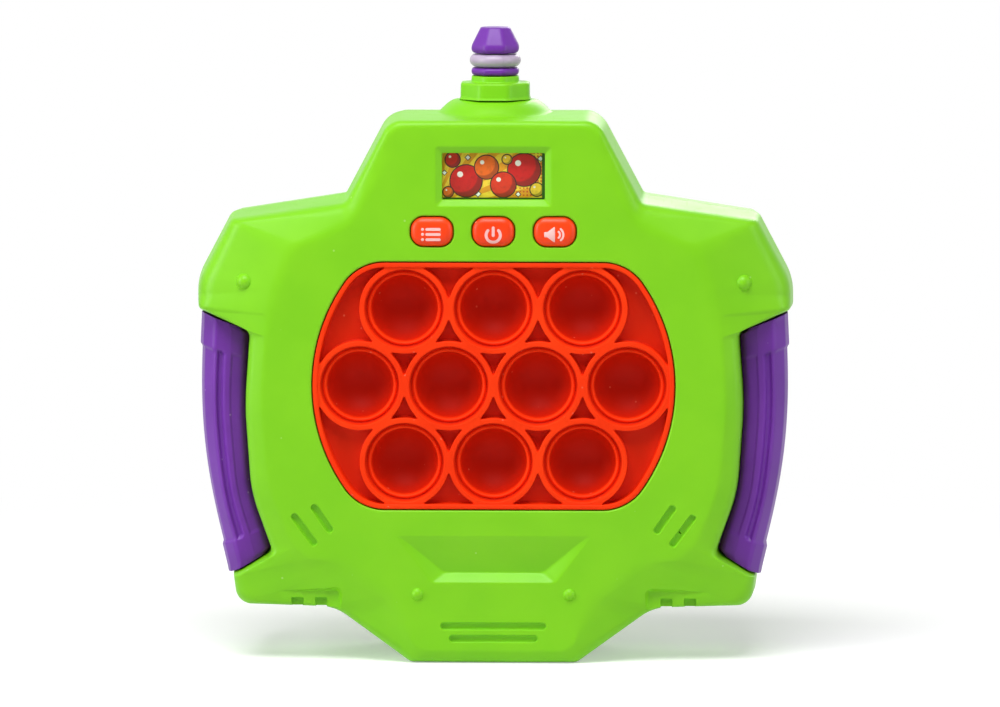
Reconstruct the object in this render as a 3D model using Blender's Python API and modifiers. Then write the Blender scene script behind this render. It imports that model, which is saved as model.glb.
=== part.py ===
"""Handheld electronic bubble pop game.

A green two-part case with purple side grips carries a silicone pad of push-through bubbles over
key caps and a circuit board, three buttons and a picture card, with a beacon on its head and a
battery bay and loudspeaker at its back. Metres, +Z up, the front faces -Y, the toy stands on its
flat base at z = 0, and the two halves of the case meet at y = 0.
"""

import math

import bmesh
import bpy
from mathutils import Matrix, Vector

MM = 0.001

# Fits that every piece shares
FIT = 0.3 * MM
OVERRUN = 1.0 * MM
WELD = 0.001 * MM
SMOOTH_ANGLE = math.radians(35)
FLAT_ANGLE = math.radians(0.05)

# Bubble pad
BUBBLE_PITCH = 24.0 * MM
ROW_COUNTS = (3, 4, 3)
RING_OVERLAP = 0.2 * MM
RING_WIDTH = 1.45 * MM
RING_HEIGHT = 3.1 * MM
LEDGE_WIDTH = 1.45 * MM
PAD_PLATE = 1.6 * MM
PAD_RIM = 1.3 * MM
PAD_FLANGE = 3.0 * MM
PAD_SIDE_MARGIN = 0.8 * MM
PAD_END_MARGIN = 0.7 * MM
PAD_CORNER_SHARE = 0.27
DOME_DEPTH = 7.5 * MM
BUBBLE_SKIN = 1.2 * MM
CROWN_SHARE = 0.58
ROUND_SIDES = 18
DOME_SIDES = 12

# Case
CHIN_HEIGHT = 41.8 * MM
BROW_MARGIN = 8.1 * MM
SHOULDER_REACH = 31.9 * MM
FACE_DEPTH = 22.0 * MM
BACK_DEPTH = 22.9 * MM
WALL = 2.2 * MM
FACE_WALL = 3.2 * MM
FACE_DRAFT = 1.2 * MM
BACK_DRAFT = 1.4 * MM
FACE_FILLET = 3.0 * MM
BACK_FILLET = 3.0 * MM
FILLET_STEPS = 2
LIP_HEIGHT = 2.5 * MM
LIP_WALL = 1.2 * MM

# Half outline of the case from the base up the right side, and the edge of its raised face:
# x as shares of half the width, z, the corner radius and the face's depth as shares of the
# height and of the face's own depth.
CASE_CORNER_SHARES = (
    # outline x, z, radius; depth of the edge; raised face x, z
    (0.302, 0.000, 0.034, 0.93, 0.240, 0.045),   # base corner
    (0.540, 0.093, 0.080, 0.86, 0.330, 0.115),   # hollow of the slanting underside
    (0.871, 0.096, 0.054, 0.80, 0.500, 0.185),   # outer corner of the bracket
    (0.886, 0.159, 0.010, 0.80, 0.612, 0.192),   # tip of the bracket
    (0.753, 0.201, 0.010, 0.91, 0.674, 0.220),   # inner corner below the grip
    (0.823, 0.310, 0.270, 0.91, 0.749, 0.320),   # waist
    (0.843, 0.472, 0.540, 0.91, 0.774, 0.480),   # waist
    (0.826, 0.602, 0.010, 0.91, 0.756, 0.597),   # inner corner above the grip
    (1.000, 0.640, 0.017, 0.70, 0.744, 0.640),   # lower tip of the shoulder
    (1.000, 0.695, 0.170, 0.66, 0.722, 0.690),   # outside of the shoulder
    (0.884, 0.815, 0.020, 0.70, 0.670, 0.763),   # top corner of the shoulder
    (0.502, 0.848, 0.014, 0.90, 0.477, 0.807),   # hollow between shoulder and head
    (0.354, 1.000, 0.047, 1.00, 0.299, 0.966),   # corner of the head
)
CASE_CORNER_STEPS = (2, 2, 2, 1, 1, 2, 2, 1, 1, 2, 1, 1, 2)
CORNER_REACH_SHARE = 0.48

# Relief on the face
STUD_RADIUS = 2.3 * MM
CHIN_STUD_RADIUS = 1.8 * MM
STUD_SINK_SHARE = 0.5
GROOVE_DEPTH = 1.0 * MM
GROOVE_WIDTH = 1.9 * MM
MOUTH_DEPTH = 2.2 * MM
MOUTH_TOP_DEPTH = 0.2 * MM
VENT_WIDTH = 3.15 * MM
VENT_DEPTH = 1.9 * MM
VENT_PANEL_DEPTH = 0.7 * MM
VENT_NOTCH_REACH = 9.0 * MM
STUD_SHARES = ((0.833, 0.698), (0.253, 0.128))
LONG_GROOVE_SHARES = ((0.173, 0.0695), (0.145, 0.0466))
SLANT_GROOVE_SHARES = ((0.596, 0.286, 0.546, 0.247), (0.663, 0.269, 0.600, 0.223))
MOUTH_SHARES = ((0.314, 0.232), (0.198, 0.1497), (0.157, 0.167))
VENT_SHARES = (0.577, 0.656)
VENT_TOP_SHARE = 0.119
VENT_NOTCH_SHARE = 0.103
VENT_PANEL_SHARES = (0.519, 0.723, 0.1315)

# Picture card and its window
CARD_GAP = 2.9 * MM
CARD_WIDTH = 27.6 * MM
CARD_HEIGHT = 12.6 * MM
CARD_BORDER = 1.6 * MM
CARD_THICKNESS = 0.8 * MM
WINDOW_BEVEL = 1.7 * MM
WINDOW_BEVEL_DEPTH = 0.9 * MM

# Buttons in the brow
BUTTON_RISE = 8.1 * MM
BUTTON_PITCH = 16.5 * MM
BUTTON_WIDTH = 11.2 * MM
BUTTON_HEIGHT = 7.8 * MM
BUTTON_CORNER = 3.4 * MM
BUTTON_EDGE = 1.3 * MM
BUTTON_PROUD = 0.9 * MM
BUTTON_FLANGE = 0.9 * MM
BUTTON_FLANGE_THICKNESS = 1.0 * MM
BUTTON_STEM_RADIUS = 1.8 * MM
BUTTON_TRAVEL = 0.8 * MM

# Key tray, key caps and circuit board
KEY_RADIUS = 5.0 * MM
KEY_PROUD = 0.3 * MM
KEY_FLANGE = 1.2 * MM
KEY_FLANGE_THICKNESS = 0.8 * MM
KEY_NUB_RADIUS = 1.5 * MM
KEY_NUB = 0.4 * MM
KEY_TRAVEL = 0.5 * MM
KEY_SIDES = 8
TRAY_PLATE = 1.5 * MM
TRAY_RIM = 2.5 * MM
PLATE_SIDE_MARGIN = 10.0 * MM
PLATE_LOW_MARGIN = 8.3 * MM
PLATE_TOP_MARGIN = 7.2 * MM
PLATE_CORNER_SHARE = 0.08
BOARD_THICKNESS = 1.6 * MM
SWITCH_WIDTH = 6.0 * MM
SWITCH_BODY = 1.8 * MM
SWITCH_HEIGHT = 2.4 * MM
SWITCH_TIP_RADIUS = 1.7 * MM
PEG_RADIUS = 2.0 * MM
PEG_MARGIN = 3.8 * MM
PEG_CORNER_SHARE = 0.82
POST_RADIUS = 3.0 * MM

# Case screws
SCREW_SHARES = ((0.717, 0.715), (0.6675, 0.182))
SCREW_RADIUS = 1.4 * MM
SCREW_HEAD_RADIUS = 3.0 * MM
SCREW_HEAD = 2.2 * MM
SCREW_LENGTH = 17.0 * MM
SCREW_SINK = 14.0 * MM
SCREW_BOSS_RADIUS = 4.6 * MM
SCREW_SIDES = 8

# Batteries, their bay and door
BATTERY_RADIUS = 7.1 * MM
BATTERY_LENGTH = 50.2 * MM
BATTERY_NUB_RADIUS = 2.7 * MM
BATTERY_NUB = 1.2 * MM
BATTERY_PITCH = 15.2 * MM
BATTERY_COUNT = 3
CONTACT_THICKNESS = 0.6 * MM
CONTACT_SPRING = 2.2 * MM
CONTACT_SPRING_RADIUS = 3.2 * MM
BAY_CENTRE_DROP = 17.5 * MM
BAY_SIDE_MARGIN = 1.0 * MM
BAY_WALL = 1.5 * MM
BAY_BOARD_GAP = 3.0 * MM
DOOR_THICKNESS = 2.0 * MM
DOOR_LEDGE = 3.0 * MM
DOOR_HEAD = 10.0 * MM
DOOR_CORNER = 3.0 * MM
DOOR_SCREW_LENGTH = 6.0 * MM
DOOR_BOSS_RADIUS = 3.6 * MM
DOOR_GRIP_WIDTH = 1.2 * MM
DOOR_GRIP_LENGTH = 14.0 * MM
DOOR_GRIP_DEPTH = 0.7 * MM
DOOR_GRIP_COUNT = 3

# Loudspeaker and its grille
SPEAKER_RADIUS = 14.0 * MM
SPEAKER_MAGNET_RADIUS = 8.0 * MM
SPEAKER_RIM = 1.6 * MM
SPEAKER_DEPTH = 7.5 * MM
SPEAKER_RISE = 9.5 * MM
SPEAKER_COLLAR = 1.5 * MM
GRILLE_SLOT_WIDTH = 1.9 * MM
GRILLE_PITCH = 4.2 * MM
GRILLE_COUNT = 5
GRILLE_REACH_SHARE = 0.78

# Side grips
GRIP_GAP = 0.5 * MM
GRIP_SIDE_GAP = 0.4 * MM
GRIP_CORNER_GAP = 1.3 * MM
GRIP_BOW = 2.7 * MM
GRIP_FOOT_SHARE = 0.888
GRIP_HEAD_SHARE = 0.974
GRIP_BLOCK_PROUD = 0.7 * MM
GRIP_HALF_DEPTH = 14.8 * MM
GRIP_STATION_SHARES = (0.0, 0.085, 0.115, 0.2, 0.3, 0.4, 0.5, 0.6, 0.7, 0.8, 0.865, 0.895, 1.0)
GRIP_BLOCK_SHARES = (0.1, 0.88)
GRIP_PEG_SHARES = (0.30, 0.54)
GRIP_PEG_RADIUS = 2.5 * MM
GRIP_PEG_REACH = 6.0 * MM
# Section of a grip: share of its width from the case outwards, share of its half depth
GRIP_FRONT_SHARES = ((0.00, 0.76), (0.10, 0.88), (0.30, 0.93), (0.35, 0.97), (0.47, 0.98),
                     (0.53, 0.90), (0.58, 0.90), (0.64, 1.00), (0.90, 0.76), (1.00, 0.52))
GRIP_BLOCK_FRONT_SHARES = ((0.00, 0.78), (0.10, 0.90), (0.30, 0.95), (0.35, 0.97), (0.47, 0.98),
                           (0.53, 0.98), (0.58, 0.99), (0.64, 1.00), (0.90, 0.78), (1.00, 0.54))
GRIP_BACK_SHARES = ((1.00, 0.52), (0.85, 0.80), (0.60, 0.93), (0.10, 0.89), (0.00, 0.76))

# Beacon on the head, eight-sided above its round mound; its widths are between flat sides
BEACON_SIDES = 8
BEACON_MOUND_RADIUS = 14.0 * MM
BEACON_MOUND = 3.4 * MM
BEACON_COLLAR_RADIUS = 9.35 * MM
BEACON_COLLAR = 4.2 * MM
BEACON_NECK_RADIUS = 6.4 * MM
BEACON_NECK = 1.7 * MM
BEACON_RING_RADIUS = 6.3 * MM
BEACON_RING = 1.9 * MM
BEACON_LIGHT_RADIUS = 6.9 * MM
BEACON_LIGHT = 3.4 * MM
BEACON_CAP_RADIUS = 6.3 * MM
BEACON_CAP_TOP_RADIUS = 4.0 * MM
BEACON_CAP = 7.0 * MM
BEACON_STEM_RADIUS = 3.0 * MM
BEACON_PIN_RADIUS = 2.2 * MM
BEACON_EDGE = 0.7 * MM
BEACON_FLANGE_RADIUS = 5.5 * MM
BEACON_FLANGE = 1.4 * MM
MOUND_SIDES = 14

# Places worked out from the sizes above
RING_RADIUS = BUBBLE_PITCH / 2 + RING_OVERLAP
ROW_PITCH = BUBBLE_PITCH * math.sin(math.pi / 3)
WELL_RADIUS = RING_RADIUS - RING_WIDTH
MOUTH_RADIUS = WELL_RADIUS - LEDGE_WIDTH
DOME_RADIUS = MOUTH_RADIUS - FIT
CROWN_RADIUS = DOME_RADIUS * CROWN_SHARE
PAD_RADIUS = (max(ROW_COUNTS) - 1) / 2 * BUBBLE_PITCH + RING_RADIUS + PAD_SIDE_MARGIN
PAD_REACH = (len(ROW_COUNTS) - 1) / 2 * ROW_PITCH + RING_RADIUS + PAD_END_MARGIN
PAD_Z = CHIN_HEIGHT + PAD_REACH
HALF_WIDTH = PAD_RADIUS + SHOULDER_REACH
BUTTON_Z = PAD_Z + PAD_REACH + BUTTON_RISE
CARD_Z = BUTTON_Z + BUTTON_HEIGHT / 2 + CARD_GAP + WINDOW_BEVEL + CARD_HEIGHT / 2
CASE_HEIGHT = CARD_Z + CARD_HEIGHT / 2 + WINDOW_BEVEL + BROW_MARGIN

PLATE_RADIUS = PAD_RADIUS + PLATE_SIDE_MARGIN
PLATE_DROP = PAD_REACH + PLATE_LOW_MARGIN
PLATE_RISE = BUTTON_Z - PAD_Z + PLATE_TOP_MARGIN
PEG_ALONG = PAD_REACH + PEG_MARGIN
PEG_ACROSS = PAD_RADIUS * PEG_CORNER_SHARE

# Depths of the stack behind the face, from front to back
FACE_Y = -FACE_DEPTH
FACE_INNER_Y = FACE_Y + FACE_WALL
PAD_FRONT_Y = FACE_INNER_Y + FIT
PAD_BACK_Y = PAD_FRONT_Y + PAD_PLATE
RING_TOP_Y = PAD_FRONT_Y - RING_HEIGHT
CROWN_BACK_Y = PAD_FRONT_Y + DOME_DEPTH + BUBBLE_SKIN
KEY_FRONT_Y = CROWN_BACK_Y + FIT
TRAY_FRONT_Y = KEY_FRONT_Y + KEY_PROUD
TRAY_BACK_Y = TRAY_FRONT_Y + TRAY_PLATE
KEY_FLANGE_Y = TRAY_BACK_Y + FIT
KEY_BACK_Y = KEY_FLANGE_Y + KEY_FLANGE_THICKNESS + KEY_NUB
SWITCH_TOP_Y = KEY_BACK_Y + KEY_TRAVEL + FIT
BOARD_FRONT_Y = SWITCH_TOP_Y + SWITCH_HEIGHT
BOARD_BACK_Y = BOARD_FRONT_Y + BOARD_THICKNESS
BAY_FRONT_Y = BOARD_BACK_Y + BAY_BOARD_GAP
BAY_FLOOR_Y = BAY_FRONT_Y + BAY_WALL
BATTERY_Y = BAY_FLOOR_Y + FIT + BATTERY_RADIUS
BACK_Y = BACK_DEPTH
BACK_INNER_Y = BACK_DEPTH - WALL
DOOR_INNER_Y = BACK_DEPTH - DOOR_THICKNESS
PARTING = FIT / 2
LIP_INWARDS = WALL + FIT + LIP_WALL

# Battery bay, seen from the back
BAY_HALF_WIDTH = BATTERY_COUNT * BATTERY_PITCH / 2 + BAY_SIDE_MARGIN / 2
BAY_HALF_LENGTH = BATTERY_LENGTH / 2 + CONTACT_SPRING + CONTACT_THICKNESS + FIT * 3
BAY_Z = PAD_Z - BAY_CENTRE_DROP
DOOR_HALF_WIDTH = BAY_HALF_WIDTH + DOOR_LEDGE
DOOR_LOW_Z = BAY_Z - BAY_HALF_LENGTH - DOOR_LEDGE
DOOR_HIGH_Z = BAY_Z + BAY_HALF_LENGTH + DOOR_HEAD
DOOR_SCREW_Z = BAY_Z + BAY_HALF_LENGTH + DOOR_HEAD / 2
SPEAKER_Z = PAD_Z + PAD_REACH + SPEAKER_RISE
SPEAKER_BACK_Y = BACK_INNER_Y - FIT


def srgb(red, green, blue):
    """Colour of 0 to 255 values as the linear values that a material takes."""
    def linear(value):
        part = value / 255
        return part / 12.92 if part <= 0.04045 else ((part + 0.055) / 1.055) ** 2.4
    return (linear(red), linear(green), linear(blue), 1.0)


def clear_scene():
    for item in list(bpy.data.objects):
        bpy.data.objects.remove(item, do_unlink=True)
    for group in list(bpy.data.collections):
        bpy.data.collections.remove(group)


def new_collection(name):
    group = bpy.data.collections.new(name)
    bpy.context.scene.collection.children.link(group)
    return group


def new_material(name, colour, roughness, metallic=0.0):
    material = bpy.data.materials.new(name)
    material.use_nodes = True
    shader = material.node_tree.nodes["Principled BSDF"]
    shader.inputs["Base Color"].default_value = colour
    shader.inputs["Roughness"].default_value = roughness
    shader.inputs["Metallic"].default_value = metallic
    material.diffuse_color = colour
    return material


clear_scene()
PARTS = new_collection("bubble_pop_game")
CUTTERS = new_collection("cutters")
GREEN = new_material("green case plastic", srgb(130, 210, 35), 0.38)
PURPLE = new_material("purple grip plastic", srgb(118, 50, 165), 0.32)
RED = new_material("red silicone", srgb(235, 45, 15), 0.5)
ORANGE = new_material("orange button plastic", srgb(250, 70, 15), 0.35)
MILKY = new_material("milky light ring", srgb(200, 188, 204), 0.3)
CARD = new_material("printed card", srgb(232, 160, 30), 0.6)
WHITE = new_material("white key plastic", srgb(232, 232, 226), 0.45)
BOARD = new_material("circuit board", srgb(28, 96, 52), 0.5)
STEEL = new_material("plated steel", srgb(190, 190, 188), 0.3, 1.0)
JACKET = new_material("battery jacket", srgb(60, 62, 68), 0.4)
DARK = new_material("dark speaker plastic", srgb(38, 38, 40), 0.5)


def place_object(name, mesh, material=None):
    """A new object in the parts, or in the cutters when it has no material."""
    item = bpy.data.objects.new(name, mesh)
    if material is None:
        CUTTERS.objects.link(item)
        item.hide_render = True
        item.display_type = "WIRE"
    else:
        PARTS.objects.link(item)
        if not mesh.materials:
            mesh.materials.append(material)
    return item


def finish_mesh(name, mesh_data, material=None):
    """Close up a bmesh into an object with outward faces and smooth shading."""
    bmesh.ops.remove_doubles(mesh_data, verts=mesh_data.verts, dist=WELD)
    bmesh.ops.connect_verts_nonplanar(mesh_data, angle_limit=FLAT_ANGLE, faces=mesh_data.faces)
    bmesh.ops.recalc_face_normals(mesh_data, faces=mesh_data.faces)
    if mesh_data.calc_volume(signed=True) < 0:
        bmesh.ops.reverse_faces(mesh_data, faces=mesh_data.faces)
    mesh = bpy.data.meshes.new(name)
    mesh_data.to_mesh(mesh)
    mesh_data.free()
    mesh.shade_smooth()
    mesh.set_sharp_from_angle(angle=SMOOTH_ANGLE)
    return place_object(name, mesh, material)


def loft(name, rings, material=None):
    """A closed body through rings of as many points each, capped at both ends."""
    body = bmesh.new()
    rows = [[body.verts.new(point) for point in ring] for ring in rings]
    for lower, upper in zip(rows, rows[1:]):
        for index in range(len(lower)):
            step = (index + 1) % len(lower)
            body.faces.new((lower[index], lower[step], upper[step], upper[index]))
    body.faces.new(rows[0])
    body.faces.new(rows[-1])
    return finish_mesh(name, body, material)


def evaluated_copy(item):
    """The item's finished mesh in world space."""
    item_now = item.evaluated_get(bpy.context.evaluated_depsgraph_get())
    mesh = bpy.data.meshes.new_from_object(item_now)
    mesh.transform(item.matrix_world)
    return mesh


def prism(name, outlines, front, back, material=None):
    """A plate between two depths from an outline in x and z, with a second outline as its hole."""
    curve = bpy.data.curves.new(name + "_outline", "CURVE")
    curve.dimensions = "2D"
    curve.fill_mode = "BOTH"
    curve.extrude = (back - front) / 2
    for outline in outlines:
        spline = curve.splines.new("POLY")
        spline.points.add(len(outline) - 1)
        for point, (x, z) in zip(spline.points, outline):
            point.co = (x, z, 0, 1)
        spline.use_cyclic_u = True
    flat = bpy.data.objects.new(name + "_outline", curve)
    flat.location = (0, (front + back) / 2, 0)
    flat.rotation_euler = (math.pi / 2, 0, 0)
    CUTTERS.objects.link(flat)
    bpy.context.view_layer.update()
    mesh = evaluated_copy(flat)
    bpy.data.objects.remove(flat, do_unlink=True)
    bpy.data.curves.remove(curve)
    body = bmesh.new()
    body.from_mesh(mesh)
    bpy.data.meshes.remove(mesh)
    bmesh.ops.remove_doubles(body, verts=body.verts, dist=WELD)
    bmesh.ops.dissolve_limit(body, angle_limit=FLAT_ANGLE, verts=body.verts, edges=body.edges)
    return finish_mesh(name, body, material)


def rod(name, start, end, radius, sides, material=None):
    """A round bar between two points."""
    start, end = Vector(start), Vector(end)
    along = end - start
    turn = Vector((0, 0, 1)).rotation_difference(along).to_matrix().to_4x4()
    body = bmesh.new()
    bmesh.ops.create_cone(body, cap_ends=True, segments=sides, radius1=radius, radius2=radius,
                          depth=along.length, matrix=Matrix.Translation((start + end) / 2) @ turn)
    return finish_mesh(name, body, material)


def block(name, low, high, material=None):
    """A box between its lowest and highest corners."""
    low, high = Vector(low), Vector(high)
    size = high - low
    body = bmesh.new()
    bmesh.ops.create_cube(body, size=1,
                          matrix=Matrix.Translation((low + high) / 2) @ Matrix.Diagonal((*size, 1)))
    return finish_mesh(name, body, material)


def turned(name, profile, sides, place, material=None, facing_front=False):
    """A turned body from (radius, height) points, down its outer side from the top.

    The profile starts and ends on the axis, or is a loop when its last point is its first.
    """
    looped = profile[0] == profile[-1]
    points = profile[:-1] if looped else profile
    edges = [(index, index + 1) for index in range(len(points) - 1)]
    if looped:
        edges.append((len(points) - 1, 0))
    mesh = bpy.data.meshes.new(name)
    mesh.from_pydata([(radius, 0, height) for radius, height in points], edges, [])
    item = place_object(name, mesh, material)
    add_turning(item, sides, place, facing_front)
    return item


def faceted(name, profile, material):
    """A beacon piece from (half width, height) points, with one of its flat sides to the front."""
    corner = 1 / math.cos(math.pi / BEACON_SIDES)
    item = turned(name, [(half * corner, height) for half, height in profile], BEACON_SIDES, (0, 0, 0), material)
    item.rotation_euler = (0, 0, math.pi / BEACON_SIDES)
    return item


def add_turning(item, sides, place, facing_front):
    screw = item.modifiers.new("turning", "SCREW")
    screw.axis = "Z"
    screw.steps = sides
    screw.render_steps = sides
    screw.use_merge_vertices = True
    screw.merge_threshold = WELD
    screw.use_smooth_shade = True
    item.location = place
    if facing_front:
        item.rotation_euler = (math.pi / 2, 0, 0)


def gathered(name, items):
    """Several separate bodies as one cutter."""
    body = bmesh.new()
    bpy.context.view_layer.update()
    for item in items:
        mesh = evaluated_copy(item)
        body.from_mesh(mesh)
        bpy.data.meshes.remove(mesh)
        bpy.data.objects.remove(item, do_unlink=True)
    return finish_mesh(name, body)


def combine(item, cutter, operation):
    step = item.modifiers.new(cutter.name, "BOOLEAN")
    step.operation = operation
    step.solver = "EXACT"
    step.object = cutter
    return item


def punch(item, holes, front, back):
    """Cut straight round holes of (x, z, radius, sides) through the item between two depths."""
    pins = [rod(f"{item.name}_hole_{number}", (x, front - OVERRUN, z), (x, back + OVERRUN, z), radius, sides)
            for number, (x, z, radius, sides) in enumerate(holes)]
    return combine(item, gathered(item.name + "_holes", pins), "DIFFERENCE")


def mirrored(points):
    """A right half outline, from the bottom up, closed with its mirror image on the left."""
    return list(points) + [(-point[0], *point[1:]) for point in reversed(points)]


def rounded(corners):
    """Outline points of a polygon of (x, z, radius, steps) whose corners become arcs."""
    points = []
    for index, (x, z, radius, steps) in enumerate(corners):
        here = Vector((x, z))
        before = Vector(corners[index - 1][:2]) - here
        after = Vector(corners[(index + 1) % len(corners)][:2]) - here
        half = before.angle(after) / 2
        reach = min(radius / math.tan(half), CORNER_REACH_SHARE * min(before.length, after.length))
        start = here + before.normalized() * reach
        toward = (before.normalized() + after.normalized()).normalized()
        centre = here + toward * (reach / math.cos(half))
        spoke = start - centre
        sweep = math.copysign(math.pi - 2 * half, before.cross(after))
        for step in range(steps + 1):
            turn = Matrix.Rotation(-sweep * step / steps, 2)
            points.append(tuple(centre + turn @ spoke))
    return points


def moved_in(corners, distance, base_distance=None):
    """The same corners with every side moved inwards, the last side (the base) by its own."""
    if base_distance is None:
        base_distance = distance
    moved = []
    count = len(corners)
    for index, (x, z, radius, steps) in enumerate(corners):
        here = Vector((x, z))
        arrive = (here - Vector(corners[index - 1][:2])).normalized()
        leave = (Vector(corners[(index + 1) % count][:2]) - here).normalized()
        arrive_in = Vector((-arrive.y, arrive.x))
        leave_in = Vector((-leave.y, leave.x))
        arrive_by = base_distance if index == 0 else distance
        leave_by = base_distance if index == count - 1 else distance
        cross = arrive_in.cross(leave_in)
        shift = Vector((arrive_by * leave_in.y - leave_by * arrive_in.y,
                        leave_by * arrive_in.x - arrive_by * leave_in.x)) / cross
        change = -distance if arrive.cross(leave) > 0 else distance
        moved.append((x + shift.x, z + shift.y, max(radius + change, FIT), steps))
    return moved


def clipped_disc(radius, rise, drop, corner, arc_steps, corner_steps, centre_z):
    """A disc cut off level above and below, its four corners rounded."""
    rise_x = math.sqrt((radius - corner) ** 2 - (rise - corner) ** 2)
    drop_x = math.sqrt((radius - corner) ** 2 - (drop - corner) ** 2)
    low = -math.atan2(drop - corner, drop_x)
    high = math.atan2(rise - corner, rise_x)

    def arc(x, z, size, start, end, steps):
        angles = [start + (end - start) * step / steps for step in range(steps + 1)]
        return [(x + size * math.cos(angle), z + size * math.sin(angle)) for angle in angles]

    half = arc(drop_x, corner - drop, corner, -math.pi / 2, low, corner_steps)
    half += arc(0, 0, radius, low, high, arc_steps)[1:-1]
    half += arc(rise_x, rise - corner, corner, high, math.pi / 2, corner_steps)
    return [(x, z + centre_z) for x, z in mirrored(half)]


def circle(x, z, radius, sides):
    angles = [2 * math.pi * side / sides for side in range(sides)]
    return [(x + radius * math.cos(angle), z + radius * math.sin(angle)) for angle in angles]


def rounded_box(x, z, width, height, corner, steps):
    half = [(x + width / 2, z - height / 2, corner, steps), (x + width / 2, z + height / 2, corner, steps),
            (x - width / 2, z + height / 2, corner, steps), (x - width / 2, z - height / 2, corner, steps)]
    return rounded(half)


def slot(start, end, width, steps):
    """A round-ended slot between two points of its centre line."""
    start, end = Vector(start), Vector(end)
    along = math.atan2(end.y - start.y, end.x - start.x)
    points = []
    for centre, first in ((end, along - math.pi / 2), (start, along + math.pi / 2)):
        for step in range(steps + 1):
            angle = first + math.pi * step / steps
            points.append((centre.x + width / 2 * math.cos(angle), centre.y + width / 2 * math.sin(angle)))
    return points


def at_depth(points, depth):
    """Outline points in x and z set at one depth, or each at its own."""
    depths = depth if isinstance(depth, list) else [depth] * len(points)
    return [(x, y, z) for (x, z), y in zip(points, depths)]


def spots(shares):
    """Places to the left and right from shares of the half width and the height."""
    return [(side * x * HALF_WIDTH, z * CASE_HEIGHT) for x, z in shares for side in (1, -1)]


def bubble_places():
    places = []
    for row, count in enumerate(ROW_COUNTS):
        z = PAD_Z + ((len(ROW_COUNTS) - 1) / 2 - row) * ROW_PITCH
        places += [((column - (count - 1) / 2) * BUBBLE_PITCH, z) for column in range(count)]
    return places


def peg_places():
    return [(x, PAD_Z + z) for x in (-PEG_ACROSS, PEG_ACROSS) for z in (-PEG_ALONG, PEG_ALONG)]


def outline_corners():
    half = [(x * HALF_WIDTH, z * CASE_HEIGHT, radius * CASE_HEIGHT, steps)
            for (x, z, radius, _, _, _), steps in zip(CASE_CORNER_SHARES, CASE_CORNER_STEPS)]
    return mirrored(half)


def raised_corners():
    """Corners of the raised middle of the face, one for each corner of the outline."""
    half = [(x * HALF_WIDTH, z * CASE_HEIGHT, FACE_FILLET * 2, steps)
            for (_, _, _, _, x, z), steps in zip(CASE_CORNER_SHARES, CASE_CORNER_STEPS)]
    return mirrored(half)


def edge_depths():
    """Depth of the face's edge at each point of the outline."""
    half = []
    for (_, _, _, share, _, _), steps in zip(CASE_CORNER_SHARES, CASE_CORNER_STEPS):
        half += [share * FACE_DEPTH] * (steps + 1)
    return half + half[::-1]


def case_ring(inwards, depth, base_inwards=None):
    return at_depth(rounded(moved_in(outline_corners(), inwards, base_inwards)), depth)


def face_solid():
    """Front half of the case, still full: raised face, sloping shoulders, round edge, sides."""
    depths = edge_depths()
    rings = [at_depth(rounded(raised_corners()), FACE_Y)]
    for step in range(FILLET_STEPS + 1):
        angle = math.pi / 2 * (1 - step / FILLET_STEPS)
        fillet_in = FACE_FILLET * (1 - math.cos(angle))
        drop = FACE_FILLET * (1 - math.sin(angle))
        rings.append(case_ring(FACE_DRAFT + fillet_in, [drop - depth for depth in depths], fillet_in))
    rings.append(case_ring(0, -PARTING))
    return loft("front_shell", rings, GREEN)


def face_hollow():
    """Room inside the front half."""
    depths = edge_depths()
    rings = [at_depth(rounded(moved_in(raised_corners(), WALL)), FACE_INNER_Y),
             case_ring(WALL + FACE_DRAFT, [FACE_WALL - depth for depth in depths], WALL),
             case_ring(WALL, -LIP_HEIGHT - OVERRUN),
             case_ring(WALL, OVERRUN)]
    return loft("front_hollow", rings)


def back_solid():
    """Rear half of the case, still full, with the lip that enters the front half."""
    rings = []
    for step in range(FILLET_STEPS + 1):
        angle = math.pi / 2 * (1 - step / FILLET_STEPS)
        fillet_in = BACK_FILLET * (1 - math.cos(angle))
        drop = BACK_FILLET * (1 - math.sin(angle))
        rings.append(case_ring(BACK_DRAFT + fillet_in, BACK_Y - drop, fillet_in))
    rings.append(case_ring(0, PARTING))
    rings.append(case_ring(WALL + FIT, PARTING))
    rings.append(case_ring(WALL + FIT, -LIP_HEIGHT))
    return loft("rear_shell", rings, GREEN)


def back_hollow():
    rings = [case_ring(WALL + BACK_DRAFT + WALL, BACK_INNER_Y, WALL * 2),
             case_ring(WALL + BACK_DRAFT, BACK_INNER_Y - WALL, WALL),
             case_ring(LIP_INWARDS, LIP_HEIGHT),
             case_ring(LIP_INWARDS, -LIP_HEIGHT - OVERRUN)]
    return loft("rear_hollow", rings)


def mound_half(name, side):
    """Half of the round mound that carries the beacon, on its side of the parting plane."""
    steps = 3
    spread = BEACON_MOUND_RADIUS - BEACON_COLLAR_RADIUS
    profile = [(BEACON_MOUND_RADIUS, CASE_HEIGHT - WALL / 2)]
    for step in range(steps + 1):
        angle = math.pi / 2 * step / steps
        profile.append((BEACON_COLLAR_RADIUS + spread * math.cos(angle),
                        CASE_HEIGHT + BEACON_MOUND * math.sin(angle)))
    half = MOUND_SIDES // 2
    turns = [math.pi * step / half for step in range(half + 1)]
    rings = [[(radius * math.cos(turn), side * (PARTING + radius * math.sin(turn)), z) for turn in turns]
             for radius, z in profile]
    return loft(name, rings)


def surface_depth(item, x, z):
    """Depth of the item's front surface under a spot of the face."""
    start = Vector((x, FACE_Y - OVERRUN, z))
    found, place, _, _ = item.ray_cast(start, Vector((0, 1, 0)))
    return place.y if found else FACE_Y


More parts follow.
